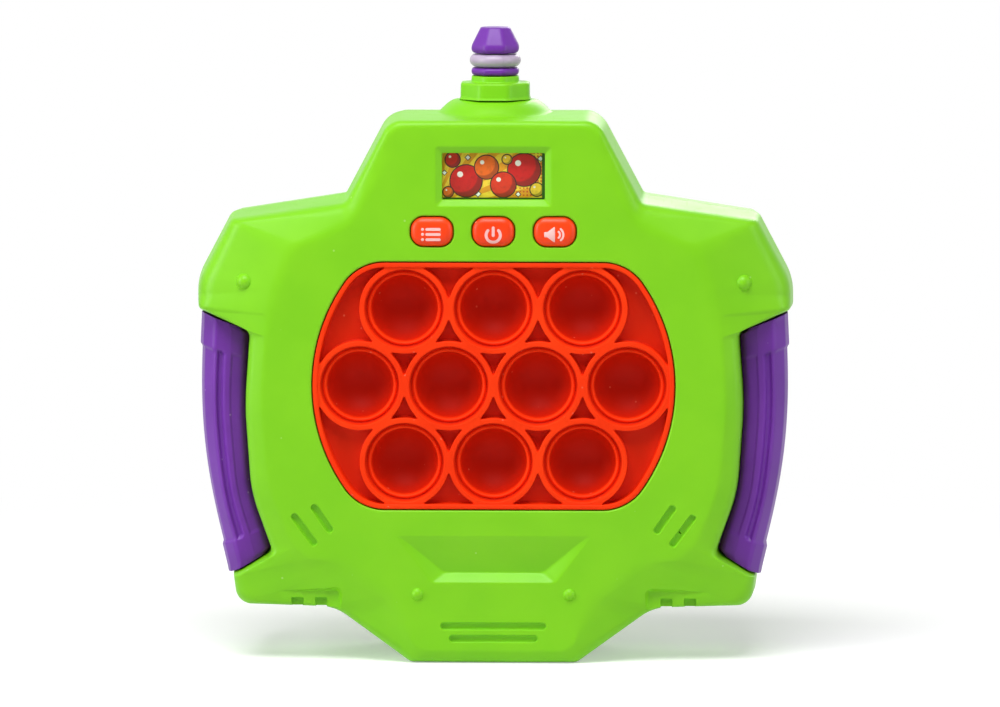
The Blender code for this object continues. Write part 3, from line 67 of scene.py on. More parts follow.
def ringWalk(arcSteps, sideSteps):
    # one row per point of a rounded polygon: its corner, how far round that corner's arc it is,
    # and how far along the side to the next corner
    arcCorner, arcPlace = countedOff(arcSteps + 1)
    sideCorner, sidePlace = countedOff(sideSteps)
    corner = np.concatenate([arcCorner, sideCorner])
    turn = np.concatenate([arcPlace / arcSteps[arcCorner], np.ones(len(sideCorner))])
    sideAlong = (sidePlace + 1) / (sideSteps[sideCorner] + 1)
    along = np.concatenate([np.zeros(len(arcCorner)), sideAlong])
    order = np.argsort(corner + turn * 0.5 + along * 0.49, kind="stable")
    return corner[order], turn[order], along[order]


def spreadOver(walk, values):
    # a value per corner, constant round its arc and changing evenly along each side
    corner, _, along = walk
    return values[corner] * (1 - along) + np.roll(values, -1)[corner] * along


def roundedRing(corners, radii, walk):
    # each corner is a circular arc that meets both its sides, and each side is a straight run
    corner, turn, along = walk
    before = np.roll(corners, 1, axis=0) - corners
    after = np.roll(corners, -1, axis=0) - corners
    cosine = np.clip((unit(before) * unit(after)).sum(1), -0.9999, 0.9999)
    half = np.arccos(cosine) / 2
    shortest = np.minimum(np.linalg.norm(before, axis=1), np.linalg.norm(after, axis=1))
    reach = np.minimum(radii / np.tan(half), 0.48 * shortest)
    start = corners + unit(before) * reach[:, None]
    centre = corners + unit(unit(before) + unit(after)) * (reach / np.cos(half))[:, None]
    spoke = (start - centre)[corner]
    bend = np.sign(before[:, 0] * after[:, 1] - before[:, 1] * after[:, 0]) * (math.pi - 2 * half)
    angle = -bend[corner] * turn
    spun = np.stack([spoke[:, 0] * np.cos(angle) - spoke[:, 1] * np.sin(angle),
                     spoke[:, 0] * np.sin(angle) + spoke[:, 1] * np.cos(angle)], axis=1)
    onArc = centre[corner] + spun
    return onArc * (1 - along[:, None]) + np.roll(start, -1, axis=0)[corner] * along[:, None]


def roundedPolygon(corners, radii, arcs, sides):
    # a rounded ring with so many steps round each corner and so many points on each side
    corners = np.asarray(corners, float)
    arcs, sides = (np.broadcast_to(steps, len(corners)) for steps in (arcs, sides))
    return roundedRing(corners, radii, ringWalk(arcs, sides))


def movedIn(corners, distance):
    # every side of a polygon shifted inwards by its own distance; the corners are where they meet
    sides = unit(np.roll(corners, -1, axis=0) - corners)
    second = np.stack([-sides[:, 1], sides[:, 0]], axis=1)
    first = np.roll(second, 1, axis=0)
    secondBy = np.broadcast_to(distance, len(corners))
    firstBy = np.roll(secondBy, 1)
    cross = first[:, 0] * second[:, 1] - first[:, 1] * second[:, 0]
    x = (firstBy * second[:, 1] - secondBy * first[:, 1]) / cross
    z = (secondBy * first[:, 0] - firstBy * second[:, 0]) / cross
    return corners + np.stack([x, z], axis=1)


def mirroredHalf(half):
    # a right half from the bottom up, followed by its mirror image from the top down
    return np.concatenate([half, half[::-1] * (-1, 1)])


def both(values):
    # values of the right half repeated for its mirror image
    return np.concatenate([values, values[::-1]])


def atDepth(ring, depth):
    # a ring in x and z set at a depth, or each point at its own
    return np.stack([ring[:, 0], np.broadcast_to(depth, len(ring)), ring[:, 1]], axis=1)


def plan(row):
    # a row as seen from the front, in x and z
    return row[:, [0, 2]]


def facingBack(rows):
    # rows worked out for the front, turned to face the back
    return [row * (1, -1, 1) for row in rows]


def outwards(ring):
    # unit vectors that point out of an anticlockwise ring
    tangent = np.roll(ring, -1, axis=0) - np.roll(ring, 1, axis=0)
    return unit(np.stack([tangent[:, 1], -tangent[:, 0]], axis=1))


def bentRows(controls, reaches, steps):
    # rows of a surface that follows the control rings, each bend a parabola that starts and ends
    # at its reach before and after the ring
    rows = [controls[0]]
    for before, here, after, wanted in zip(controls, controls[1:], controls[2:], reaches):
        shorter = np.minimum(*(np.linalg.norm(ring - here, axis=1) for ring in (before, after)))
        reach = np.minimum(wanted, 0.49 * shorter)[:, None]
        first, end = here + unit(before - here) * reach, here + unit(after - here) * reach
        rows += [first * (1 - s) ** 2 + here * 2 * s * (1 - s) + end * s ** 2
                 for s in np.linspace(0, 1, steps + 1)]
    return rows + [controls[-1]]


def skin(rows, closed=True):
    # quads between neighbouring rows of points
    rows = np.asarray(rows)
    count, width = rows.shape[:2]
    index = np.arange(count * width).reshape(count, width)
    if closed:
        index = np.concatenate([index, index[:, :1]], axis=1)
    faces = np.stack([index[:-1, :-1], index[:-1, 1:], index[1:, 1:], index[1:, :-1]], axis=-1)
    return rows.reshape(-1, 3), faces.reshape(-1, 4).tolist()


def fan(row):
    # closes a row with triangles to its middle
    count = len(row)
    index = np.arange(count)
    return (np.concatenate([row, row.mean(axis=0)[None]]),
            np.stack([index, (index + 1) % count, np.full(count, count)], axis=1).tolist())


def closedLoft(rows):
    # a surface over the rows with both its ends closed
    return [skin(rows), fan(rows[0]), fan(rows[-1])]


def flatFill(rings, depth):
    # triangles of the flat region inside the first ring and outside the others: a triangle is
    # kept when a line from its middle crosses the rings an odd number of times
    points = np.concatenate(rings)
    counts = np.array([len(ring) for ring in rings])
    run, place = countedOff(counts)
    first = np.arange(len(points))
    second = first - place + (place + 1) % counts[run]
    found, _, triangles, *_ = delaunay_2d_cdt(
        [Vector(point) for point in points.tolist()],
        np.stack([first, second], axis=1).tolist(), [], 0, 1e-6)
    found = np.array([tuple(point) for point in found])
    triangles = np.array(triangles)
    middle = found[triangles].mean(axis=1)
    a, b = points[first], points[second]
    over = (a[None, :, 1] > middle[:, None, 1]) != (b[None, :, 1] > middle[:, None, 1])
    rise = np.where(a[:, 1] == b[:, 1], 1, b[:, 1] - a[:, 1])
    meet = a[None, :, 0] + (b[:, 0] - a[:, 0]) * (middle[:, None, 1] - a[None, :, 1]) / rise
    inside = (over & (meet > middle[:, None, 0])).sum(axis=1) % 2 == 1
    return atDepth(found, depth), triangles[inside].tolist()


def addHole(rows, parts, near, far=None):
    # puts a hole's walls among the parts and its mouth among the outlines that stay open near it,
    # and its other end among those far from it, or closes that end where it has none
    parts.append(skin(rows))
    near.append(plan(rows[0]))
    if far is None:
        parts.append(flatFill([plan(rows[-1])], rows[-1][0, 1]))
    else:
        far.append(plan(rows[-1]))


def joined(parts):
    # several lots of points and faces as one
    points, faces, count = [], [], 0
    for partPoints, partFaces in parts:
        points.append(np.asarray(partPoints, float))
        faces += [[index + count for index in face] for face in partFaces]
        count += len(partPoints)
    return np.concatenate(points), faces


def shadeSmooth(mesh):
    # soft shading with the sharp edges marked
    mesh.shade_smooth()
    mesh.set_sharp_from_angle(angle=math.radians(35))


def addObject(name, data):
    # an object with this data in the scene
    item = bpy.data.objects.new(name, data)
    bpy.context.scene.collection.objects.link(item)
    return item


def newPiece(name, parts, material, body="case"):
    # a mesh object in metres, its doubles merged, its faces outwards and its sharp edges marked
    points, faces = joined(parts)
    mesh = bpy.data.meshes.new(name)
    mesh.from_pydata(points * mm, [], faces)
    work = bmesh.new()
    work.from_mesh(mesh)
    bmesh.ops.remove_doubles(work, verts=work.verts, dist=0.002 * mm)
    bmesh.ops.recalc_face_normals(work, faces=work.faces)
    work.to_mesh(mesh)
    work.free()
    shadeSmooth(mesh)
    piece = addObject(name, mesh)
    if material:
        mesh.materials.append(material)
    if body:
        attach(piece, body)
    return piece


def cutFrom(piece, parts):
    # takes a closed cutter away from a piece and leaves a plain mesh
    cutter = newPiece(piece.name + "Cutter", parts, None, body=None)
    step = piece.modifiers.new("cut", "BOOLEAN")
    step.operation = "DIFFERENCE"
    step.solver = "EXACT"
    step.object = cutter
    bpy.context.view_layer.update()
    evaluated = piece.evaluated_get(bpy.context.evaluated_depsgraph_get())
    mesh = bpy.data.meshes.new_from_object(evaluated)
    piece.modifiers.clear()
    piece.data = mesh
    bpy.data.objects.remove(cutter)
    shadeSmooth(mesh)


def boxRing(x, z, width, height, corner, arc=8, side=6):
    # rounded rectangle about a middle
    halfX, halfZ = width / 2, height / 2
    corners = [(halfX, -halfZ), (halfX, halfZ), (-halfX, halfZ), (-halfX, -halfZ)]
    return roundedPolygon(np.array(corners) + (x, z), corner, arc, side)


def slotRing(start, end, width):
    # round-ended slot about a line
    start, end = np.array(start, float), np.array(end, float)
    along = unit(end - start)
    across = np.array([along[1], -along[0]]) * width / 2
    tip = along * width / 2
    corners = [start - tip + across, end + tip + across, end + tip - across, start - tip - across]
    return roundedPolygon(corners, width / 2 * 0.999, 10, (24, 0, 24, 0))


def onCircle(x, z, radius, angle):
    # points of a circle at the angles
    return np.stack([x + radius * np.cos(angle), z + radius * np.sin(angle)], axis=1)


def circleRing(x, z, radius, count=96):
    # a whole circle of evenly spread points
    return onCircle(x, z, radius, np.arange(count) * 2 * math.pi / count)


def quarterArc(steps):
    # a quarter of a circle of radius 1 from level to upright, as pairs: what is left to go across
    # and how far it has come down
    angle = np.linspace(0, math.pi / 2, steps + 1)
    return list(zip(1 - np.sin(angle), 1 - np.cos(angle)))


def lipRows(ring, top, lip, rest):
    # rows that carry a hole's ring from a flat edge round a quarter circle into the hole, then
    # through the (offset, depth below the top) pairs of rest
    pairs = [(lip + 0.25, 0)] + [(lip * across, lip * down) for across, down in quarterArc(4)]
    away = outwards(ring)
    return [atDepth(ring + away * offset, top + depth) for offset, depth in pairs + list(rest)]


# Case

case = {
    # right half from the base up: outline x, z, corner radius; depth of the face's edge;
    # raised face x, z, corner radius; reach of its knee; reach of the edge's rounding
    "corners": np.array([
        (24.4, 0.0, 5.0, 20.5, 21.0, 3.5, 5.0, 1.2, 3.2),      # base corner
        (43.7, 13.8, 11.9, 18.9, 26.7, 17.0, 8.0, 4.0, 3.0),   # hollow of the underside
        (70.5, 14.2, 8.0, 17.6, 40.5, 27.4, 8.0, 4.0, 4.0),    # outer corner of the bracket
        (71.7, 23.6, 1.5, 17.6, 49.5, 28.4, 6.0, 2.4, 3.0),    # tip of the bracket
        (60.9, 29.8, 1.5, 20.0, 54.5, 32.6, 6.0, 1.4, 2.2),    # inner corner below the grip
        (66.6, 45.9, 40.0, 20.0, 60.6, 47.4, 40.0, 1.2, 2.2),  # waist
        (68.2, 69.9, 80.0, 20.0, 62.6, 71.1, 80.0, 1.2, 2.2),  # waist
        (66.8, 89.2, 1.5, 20.0, 61.2, 88.4, 8.0, 1.6, 2.2),    # inner corner above the grip
        (80.9, 94.8, 2.5, 15.4, 60.2, 94.8, 8.0, 4.0, 3.5),    # lower tip of the shoulder
        (80.9, 103.0, 25.2, 14.5, 58.4, 102.2, 12.0, 4.0, 4.5),  # outside of the shoulder
        (71.5, 120.8, 3.0, 15.4, 54.2, 113.0, 8.0, 4.0, 3.5),  # top corner of the shoulder
        (40.6, 125.6, 2.1, 19.8, 38.6, 119.6, 8.0, 3.5, 3.5),  # hollow between shoulder and head
        (28.6, 148.17, 7.0, 22.0, 24.2, 143.2, 7.0, 2.0, 4.6),  # corner of the head
    ]),
    "arcSteps": np.array([8, 10, 10, 4, 5, 8, 8, 5, 5, 10, 6, 6, 10]),
    "sideSteps": np.array([14, 16, 6, 8, 10, 16, 12, 10, 5, 12, 20, 18, 90]),
    "face": -22.0, "back": 22.9, "wall": 2.2, "faceWall": 3.2,
    "frontDraft": 1.2, "backDraft": 1.4, "parting": 0.15,
    "baseSteps": 30, "bendSteps": 7, "wallRows": 22, "faceLip": 0.45, "support": 0.3, "aim": 6.0,
}

mound = {"flat": 9.7, "foot": 15.3, "height": 3.4, "shoulder": 2.2, "ease": 1.3, "halfWidth": 20,
         "above": 143}
pad = {"middle": 75.485, "radius": 49.0, "reach": 33.685, "corner": 13.23, "pitch": 24.0,
       "arcSteps": 24, "cornerSteps": 14, "cutSteps": 24, "lip": 0.5}
rowPitch = pad["pitch"] * math.sin(math.pi / 3)
bubbles = [((column - (count - 1) / 2) * pad["pitch"], pad["middle"] + (1 - row) * rowPitch)
           for row, count in enumerate((3, 4, 3)) for column in range(count)]
buttons = {
    "z": 117.269, "pitch": 16.5, "width": 11.2, "height": 7.8, "corner": 3.4, "top": -22.9,
    "pillow": 3.3, "pillowDepth": 1.3, "flange": 1.8, "flangeFront": -18.5, "flangeBack": -17.5,
    "stem": 3.6, "stemEnd": -6.6,
    # piece, node and body of each, from the left
    "order": (("menuButton", "menu_button", "menu_push"),
              ("powerButton", "power_button", "power_push"),
              ("soundButton", "sound_button", "sound_push")),
}
window = {
    "z": 132.069, "width": 27.6, "height": 12.6, "corner": 0.35, "bevel": 1.7, "bevelDepth": 0.9,
    "support": (0.5, 0.2),
    # the bevel: share of the way in, share of its depth
    "bevelRows": ((0.02, 0.06), (0.1, 0.14), (0.9, 0.86), (0.98, 0.95), (1.0, 1.15)),
}
gap = 0.3  # between a moving or fitted piece and its hole


def padRing(inwards):
    # outline of the pad, a disc cut off level above and below, with rounded corners between the
    # arc and the cuts: the right arc, the upper cut, the left arc and the lower cut
    corner, radius, reach = (pad[key] - inwards for key in ("corner", "radius", "reach"))
    cut = math.sqrt((radius - corner) ** 2 - (reach - corner) ** 2)
    bend = math.atan2(reach - corner, cut)
    right = onCircle(0, 0, radius, np.linspace(-bend, bend, pad["arcSteps"] + 1))
    upper = np.linspace(bend, math.pi / 2, pad["cornerSteps"] + 1)[1:]
    quarter = onCircle(cut, reach - corner, corner, upper)
    level = np.linspace(cut, -cut, pad["cutSteps"] + 2)[1:-1]
    level = np.stack([level, np.full(len(level), reach)], axis=1)
    half = np.concatenate([right, quarter, level, (quarter * (-1, 1))[::-1]])
    return np.concatenate([half, -half]) + (0, pad["middle"])


# round the case; the top of the head and the base are single sides
caseWalk = ringWalk(both(case["arcSteps"]), np.concatenate(
    [case["sideSteps"], case["sideSteps"][:-1][::-1], [case["baseSteps"]]]))


def caseRing(inwards, baseInwards=None):
    # the case's outline with its sides moved in; the base, which the toy stands on, by its own
    table = case["corners"]
    corners = mirroredHalf(table[:, :2])
    shift = np.full(len(corners), float(inwards))
    shift[-1] = inwards if baseInwards is None else baseInwards
    sides = np.roll(corners, -1, axis=0) - corners
    arrive = np.roll(sides, 1, axis=0)
    outer = arrive[:, 0] * sides[:, 1] - arrive[:, 1] * sides[:, 0] > 0
    radii = np.maximum(both(table[:, 2]) + np.where(outer, -inwards, inwards), 0.3)
    return roundedRing(movedIn(corners, shift), radii, caseWalk)


def raisedRing(inwards=0):
    # outline of the raised face with its sides moved in
    table = case["corners"]
    return roundedRing(movedIn(mirroredHalf(table[:, 4:6]), inwards), both(table[:, 6]), caseWalk)


def withMound(points):
    # lifts the top of the head into the round mound that carries the beacon: level, then a
    # rounded shoulder and a soft foot
    across = np.hypot(points[:, 0], points[:, 1])
    part = np.clip((across - mound["flat"]) / (mound["foot"] - mound["flat"]), 0, 1)
    height = mound["height"] * (1 - part ** mound["shoulder"]) ** mound["ease"]
    onTop = (np.abs(points[:, 0]) < mound["halfWidth"]) & (points[:, 2] > mound["above"])
    return points + np.where(onTop, height, 0)[:, None] * (0, 0, 1)


def caseWalls(controls, reaches):
    # bent rows whose last stretch, the wall down to the parting line, is divided evenly
    rows = bentRows(controls, reaches, case["bendSteps"])
    wall, foot = rows[-2:]
    parts = np.linspace(0, 1, case["wallRows"] + 1)[1:]
    return [withMound(row) for row in rows[:-1] + [wall + (foot - wall) * part for part in parts]]


mouth = {
    "outer": ((-17.0, 22.0), (17.0, 22.0), (26.6, 34.9), (-26.6, 34.9)),
    "inner": ((-13.2, 24.7), (13.2, 24.7), (25.0, 34.6), (-25.0, 34.6)),
    "outerRadii": (1.6, 1.6, 0.3, 0.3), "innerRadii": (1.6 * 2.2, 1.6 * 2.2, 0.3, 0.3),
    "steps": ((8, 8, 4, 4), (20, 12, 30, 12)), "depth": 2.4, "support": 0.25, "level": 0.3,
    # the bevel: share of the way in, share of its depth
    "bevel": ((0.0, 0.0), (0.08, 0.02), (0.2, 0.12), (0.82, 0.86), (0.93, 0.97), (1.0, 1.0)),
}


def mouthRows():
    # recess that deepens from its upper edge to its lower one: its rows run from the face's edge
    # down a bevel to the slanting floor, and a level ring inside the floor keeps that plane
    top = roundedPolygon(mouth["outer"], mouth["outerRadii"], *mouth["steps"])
    floor = roundedPolygon(mouth["inner"], mouth["innerRadii"], *mouth["steps"])
    support = top + outwards(top) * mouth["support"]
    level = floor - outwards(floor) * mouth["level"]
    high, low = mouth["outer"][2][1], mouth["inner"][0][1]
    slant = mouth["depth"] / (high - low)
    depth, levelDepth = (slant * (high - ring[:, 1]) for ring in (floor, level))
    face = case["face"]
    rows = [atDepth(support, face)]
    rows += [atDepth(top + (floor - top) * across, face + depth * down)
             for across, down in mouth["bevel"]]
    return rows + [atDepth(level, face + levelDepth)]


def planeFill(row):
    # closes a row that lies in a slanting plane
    ring = plan(row)
    points, faces = flatFill([ring], 0.0)
    match = np.argmin(((plan(points)[:, None] - ring[None]) ** 2).sum(axis=2), axis=1)
    points[:, 1] = row[match, 1]
    return points, faces


grooves = {
    "width": 1.9, "lip": 0.22, "down": ((-0.08, 0.7), (-0.14, 0.9), (-0.34, 1.0)),
    "lines": [((-13.3, 10.3), (13.3, 10.3)), ((-11.0, 6.9), (11.0, 6.9))] +
             [((side * x0, z0), (side * x1, z1)) for side in (1, -1)
              for x0, z0, x1, z1 in ((48.2, 42.4, 44.2, 36.6), (53.6, 39.9, 48.5, 33.0))],
}
vents = {
    "middles": (46.7, 53.1), "width": 3.15, "depth": 1.9, "below": 4.0,
    # top and corner of a slot and of a notch, with rows of (wider, taller, depth)
    "slot": (17.6, 0.35, ((0.5, 0.5, -6.0), (0.0, 0.0, -0.1), (0.0, 0.0, 0.0))),
    "notch": (15.3, 0.3, ((-0.02, 0.0, -6.0), (-0.02, 0.0, 9.0))),
    "panel": ((39.6, -2.0), (59.94, -2.0), (58.5, 19.5), (42.0, 19.5)),
    # how far the panel's outline has grown, and at which depth
    "panelRows": ((2.6, -3.0), (0.5, -0.1), (0.2, 0.3), (0.06, 0.55), (-0.3, 0.7)),
}
studs = {"shoulder": (67.4, 103.4, 2.35), "chin": (20.5, 19.0, 1.85), "sink": 0.45}


def surfaceUnder(piece, x, z):
    # where a line from 40 mm in front meets the surface, with the surface's direction there
    _, place, normal, _ = piece.ray_cast(Vector((x * mm, -40 * mm, z * mm)), Vector((0, 1, 0)))
    return np.array(place) / mm, np.array(normal)


def addVents(piece):
    # a shallow drafted panel above the underside of each bracket, then two slots in it, and the
    # notches that open the slots to below
    panels, slots, notches = [], [], []
    panel, below = np.array(vents["panel"]), vents["below"]
    for side in (1, -1):
        corners = panel if side > 0 else (panel * (-1, 1))[::-1]
        depth = surfaceUnder(piece, side * panel[2:, 0].mean(), panel[2, 1])[0][1]
        outlines = [roundedPolygon(movedIn(corners, -grow), 1.0 + max(grow, 0), 6, 10)
                    for grow, _ in vents["panelRows"]]
        panels += closedLoft([atDepth(outline, depth + down)
                              for outline, (_, down) in zip(outlines, vents["panelRows"])])
        for x in vents["middles"]:
            depth = surfaceUnder(piece, side * x, vents["slot"][0])[0][1] + vents["depth"]
            for lots, (top, corner, rows) in ((slots, vents["slot"]), (notches, vents["notch"])):
                lots += closedLoft([
                    atDepth(boxRing(side * x, (top - below) / 2, vents["width"] + wider,
                                    top + below + taller, corner, 4, 6), depth + down)
                    for wider, taller, down in rows])
    for cutter in (panels, slots, notches):
        cutFrom(piece, cutter)


def addStuds(piece):
    # low domes along the surface's own direction, each a ball's cap
    turn = np.arange(36) * 2 * math.pi / 36
    lots = []
    for x, z, radius in (studs["shoulder"], studs["chin"]):
        for side in (1, -1):
            place, normal = surfaceUnder(piece, side * x, z)
            across = unit(np.cross(normal, (0, 0, 1.0)))
            up = np.cross(across, normal)
            around = np.cos(turn)[:, None] * across + np.sin(turn)[:, None] * up
            middle = place - normal * radius * studs["sink"]
            rows = [middle + normal * radius * math.cos(a) + around * radius * math.sin(a)
                    for a in np.linspace(0.05, 1.25, 9)]
            lots += [skin(rows), fan(rows[0])]
    points, faces = joined(lots)
    work = bmesh.new()
    work.from_mesh(piece.data)
    extra = bpy.data.meshes.new("studs")
    extra.from_pydata(points * mm, [], faces)
    work.from_mesh(extra)
    bmesh.ops.recalc_face_normals(work, faces=work.faces[-len(faces):])
    work.to_mesh(piece.data)
    work.free()
    shadeSmooth(piece.data)


def caseFront(material):
    # outer rows from the raised face over its knee and the edge down to the parting line, inner
    # rows a wall's thickness within them, and flat faces with the holes left open
    table = case["corners"]
    face, inside = case["face"], case["face"] + case["faceWall"]
    knee, edge, edgeDepth = (spreadOver(caseWalk, both(table[:, column])) for column in (7, 8, 3))
    raised = raisedRing()
    towards = unit(raisedRing(case["aim"]) - raised)
    support = raised + towards * (knee[:, None] + case["support"])
    draft, parting, thick = case["frontDraft"], case["parting"], case["wall"]
    controls = [atDepth(support, face), atDepth(raised, face),
                atDepth(caseRing(draft, 0), -edgeDepth), atDepth(caseRing(0), -parting)]
    rows = caseWalls(controls, [knee, edge])
    inner = [atDepth(caseRing(thick), -parting),
             atDepth(caseRing(thick + draft, thick), case["faceWall"] - edgeDepth),
             atDepth(raisedRing(thick), inside)]
    parts, outerHoles, innerHoles = [skin(rows + inner)], [], [plan(inner[-1])]

    width, height, corner = (buttons[key] for key in ("width", "height", "corner"))
    holes = [(padRing(0), pad["lip"])]
    holes += [(boxRing((number - 1) * buttons["pitch"], buttons["z"], width + 2 * gap,
                       height + 2 * gap, corner + gap, 12, 8), case["faceLip"])
              for number in range(3)]
    for ring, lip in holes:
        addHole(lipRows(ring, face, lip, [(0, case["faceWall"])]), parts, outerHoles, innerHoles)

    width, height, bevel = window["width"], window["height"], 2 * window["bevel"]
    through = boxRing(0, window["z"], width, height, window["corner"], 4, 16)
    wide = boxRing(0, window["z"], width + bevel, height + bevel, 2 * window["corner"], 4, 16)
    frameRows = [atDepth(wide + outwards(wide) * away, face) for away in window["support"]]
    frameRows += [atDepth(wide + (through - wide) * across, face + window["bevelDepth"] * deep)
                  for across, deep in window["bevelRows"]]
    addHole(frameRows + [atDepth(through, inside)], parts, outerHoles, innerHoles)

    for start, end in grooves["lines"]:
        ring = slotRing(start, end, grooves["width"])
        addHole(lipRows(ring, face, grooves["lip"], grooves["down"]), parts, outerHoles)

    mouthDown = mouthRows()
    parts += [skin(mouthDown), planeFill(mouthDown[-1])]
    outerHoles.append(plan(mouthDown[0]))

    parts += [flatFill([support] + outerHoles, face), flatFill(innerHoles, inside)]
    piece = newPiece("caseFront", parts, material)
    addVents(piece)
    addStuds(piece)
    return piece


back = {
    "edge": 3.2, "doorZ": 61.485, "doorWidth": 52.6, "doorHeight": 70.6, "doorCorner": 3.0,
    "ledge": 20.6, "bayZ": 57.985, "bayWidth": 46.6, "bayHeight": 57.6, "bayFloor": 3.1,
    "bayWall": 1.5,
    "speakerZ": 118.669, "slotPitch": 4.2, "slotWidth": 1.9, "slotReach": 10.9,
    "screws": ((58.0, 105.9), (-58.0, 105.9), (54.0, 27.0), (-54.0, 27.0)), "screwHole": 3.3,
    # flare of a screw well: wider by, above the back by; and its depth below the inner wall
    "wellFlare": ((0.6, 0.3), (0.3, 0), (0, -0.3)), "wellDepth": 2, "support": 0.5,
    "lipReach": 2.5, "lipWall": 1.2, "bayCorner": 1.0, "slotLip": 0.3, "doorLip": 0.35,
}


def caseRear(material):
    # rows from the flat back round its edge to the parting line, then the lip that enters the
    # front half and the inner wall, with the speaker's slots, the battery bay and screw wells
    top, thick, parting = case["back"], case["wall"], case["parting"]
    draft, edge = case["backDraft"], back["edge"]
    lip, lipIn, reach = thick + gap, thick + gap + back["lipWall"], back["lipReach"]
    inwards = edge + back["support"]
    controls = [atDepth(caseRing(draft + inwards, inwards), top),
                atDepth(caseRing(draft, 0), top), atDepth(caseRing(0), parting)]
    rows = caseWalls(controls, [edge])
    rows += [atDepth(caseRing(lip), parting), atDepth(caseRing(lip), -reach),
             atDepth(caseRing(lipIn), -reach), atDepth(caseRing(lipIn), reach),
             atDepth(caseRing(draft + thick, thick), top - 2 * thick),
             atDepth(caseRing(draft + 2 * thick, 2 * thick), top - thick)]
    parts, outerHoles, innerHoles = [skin(rows)], [plan(rows[0])], [plan(rows[-1])]
    for number in range(5):
        offset = (number - 2) * back["slotPitch"]
        half = math.sqrt(back["slotReach"] ** 2 - offset ** 2) - back["slotWidth"] / 2
        z = back["speakerZ"] + offset
        slot = slotRing((-half, z), (half, z), back["slotWidth"])
        slotRows = lipRows(slot, -top, back["slotLip"], [(0, thick)])
        addHole(facingBack(slotRows), parts, outerHoles, innerHoles)
    door = boxRing(0, back["doorZ"], back["doorWidth"] + 2 * gap, back["doorHeight"] + 2 * gap,
                   back["doorCorner"] + gap, 8, 12)
    bay = boxRing(0, back["bayZ"], back["bayWidth"], back["bayHeight"], back["bayCorner"], 4, 10)
    ledge, floor, bayWall = back["ledge"], back["bayFloor"], back["bayWall"]
    doorRows = facingBack(lipRows(door, -top, back["doorLip"], [(0, top - ledge)]))
    doorOut, bayOut = (ring + outwards(ring) * bayWall for ring in (door, bay))
    parts += [skin(doorRows), flatFill([door, bay], ledge),
              skin([atDepth(bay, ledge), atDepth(bay, floor)]), flatFill([bay], floor),
              skin([atDepth(doorOut, top - thick), atDepth(doorOut, ledge - bayWall)]),
              flatFill([doorOut, bayOut], ledge - bayWall),
              skin([atDepth(bayOut, ledge - bayWall), atDepth(bayOut, floor - bayWall)]),
              flatFill([bayOut], floor - bayWall)]
    parts += [flatFill(outerHoles + [plan(doorRows[0])], top),
              flatFill(innerHoles + [doorOut], top - thick)]
    piece = newPiece("caseRear", parts, material)
    wells = []
    for x, z in back["screws"]:
        ring = circleRing(x, z, back["screwHole"], 40)
        out, bottom = outwards(ring), top - 2 * thick - back["wellDepth"]
        rows = [atDepth(ring + out * wider, top + above) for wider, above in back["wellFlare"]]
        wells += [skin(rows + [atDepth(ring, bottom)]), flatFill([plan(rows[0])], rows[0][0, 1]),
                  flatFill([ring], bottom)]
    cutFrom(piece, wells)
    return piece


# Pad

silicone = {
    "mouth": 9.3, "well": 10.7, "ring": 12.05, "rim": 1.3, "hidden": 0.15, "blend": 0.42,
    "edge": 0.26, "support": 0.08,
    "ringTop": -21.35, "rimTop": -21.8, "plateFront": -18.5, "plateBack": -16.9, "flange": 3.0,
    "bead": 0.32, "seam": 0.65, "pocketStep": 0.25,
    # walls of a pocket: level of the field, depth
    "pocketRows": ((0.05, -19.6), (0.09, -18.95), (0.15, -18.68), (0.26, -18.55), (0.42, -18.5)),
    # foot of a well's wall and of the rim's: distance in from the wall, depth
    "wellFoot": ((0.1, -19.6), (0.16, -19.05), (0.3, -18.74), (0.5, -18.6), (0.75, -18.52)),
    "rimFoot": ((0.0, -20.4), (0.02, -19.1), (0.08, -18.8), (0.2, -18.6), (0.4, -18.45)),
}


def outlineDistance(points):
    # distance outside the pad's outline, negative inside: the outline is a smaller clipped disc
    # with a round band about it
    band = pad["corner"] - gap
    radius, reach = pad["radius"] - pad["corner"], pad["reach"] - pad["corner"]
    x, z = points[..., 0], points[..., 1] - pad["middle"]
    away = np.hypot(x, z)
    share = radius / np.maximum(away, 1e-6)
    onDisc = np.where(np.abs(z * share) <= reach, np.maximum(away - radius, 0), 1e9)
    cornerX = math.sqrt(radius ** 2 - reach ** 2)
    onCut = np.where(np.abs(x) <= cornerX, np.maximum(np.abs(z) - reach, 0), 1e9)
    toCorner = np.hypot(np.abs(x) - cornerX, np.abs(z) - reach)
    return np.minimum(np.minimum(onDisc, onCut), toCorner) - band


def padField(points):
    # above 0 in a pocket of the pad, below 0 in its rings and rim: the soft minimum of the
    # distances to them, which rounds off the places where two of them meet
    soft = silicone["blend"]
    across = np.linalg.norm(points[..., None, :] - np.array(bubbles), axis=-1) - silicone["ring"]
    rim = -outlineDistance(points) - silicone["rim"] + silicone["hidden"]
    distances = np.concatenate([across, rim[..., None]], axis=-1)
    return -soft * np.log(np.exp(-distances / soft).sum(axis=-1))


def onLevel(points, level):
    # points carried along the field's slope until the field has the level's value there
    small = 0.01
    for _ in range(6):
        value = padField(points) - level
        rise = [padField(points + step) - padField(points - step)
                for step in np.array([(small, 0), (0, small)])]
        slope = np.stack(rise, axis=-1) / (2 * small)
        points = points - slope * (value / (slope ** 2).sum(axis=-1))[..., None]
    return points


def spaced(ring, count):
    # a closed line with its points spread evenly
    closed = np.concatenate([ring, ring[:1]])
    run = np.concatenate([[0], np.cumsum(np.linalg.norm(np.diff(closed, axis=0), axis=1))])
    wanted = np.linspace(0, run[-1], count + 1)[:-1]
    return np.stack([np.interp(wanted, run, closed[:, axis]) for axis in range(2)], axis=1)


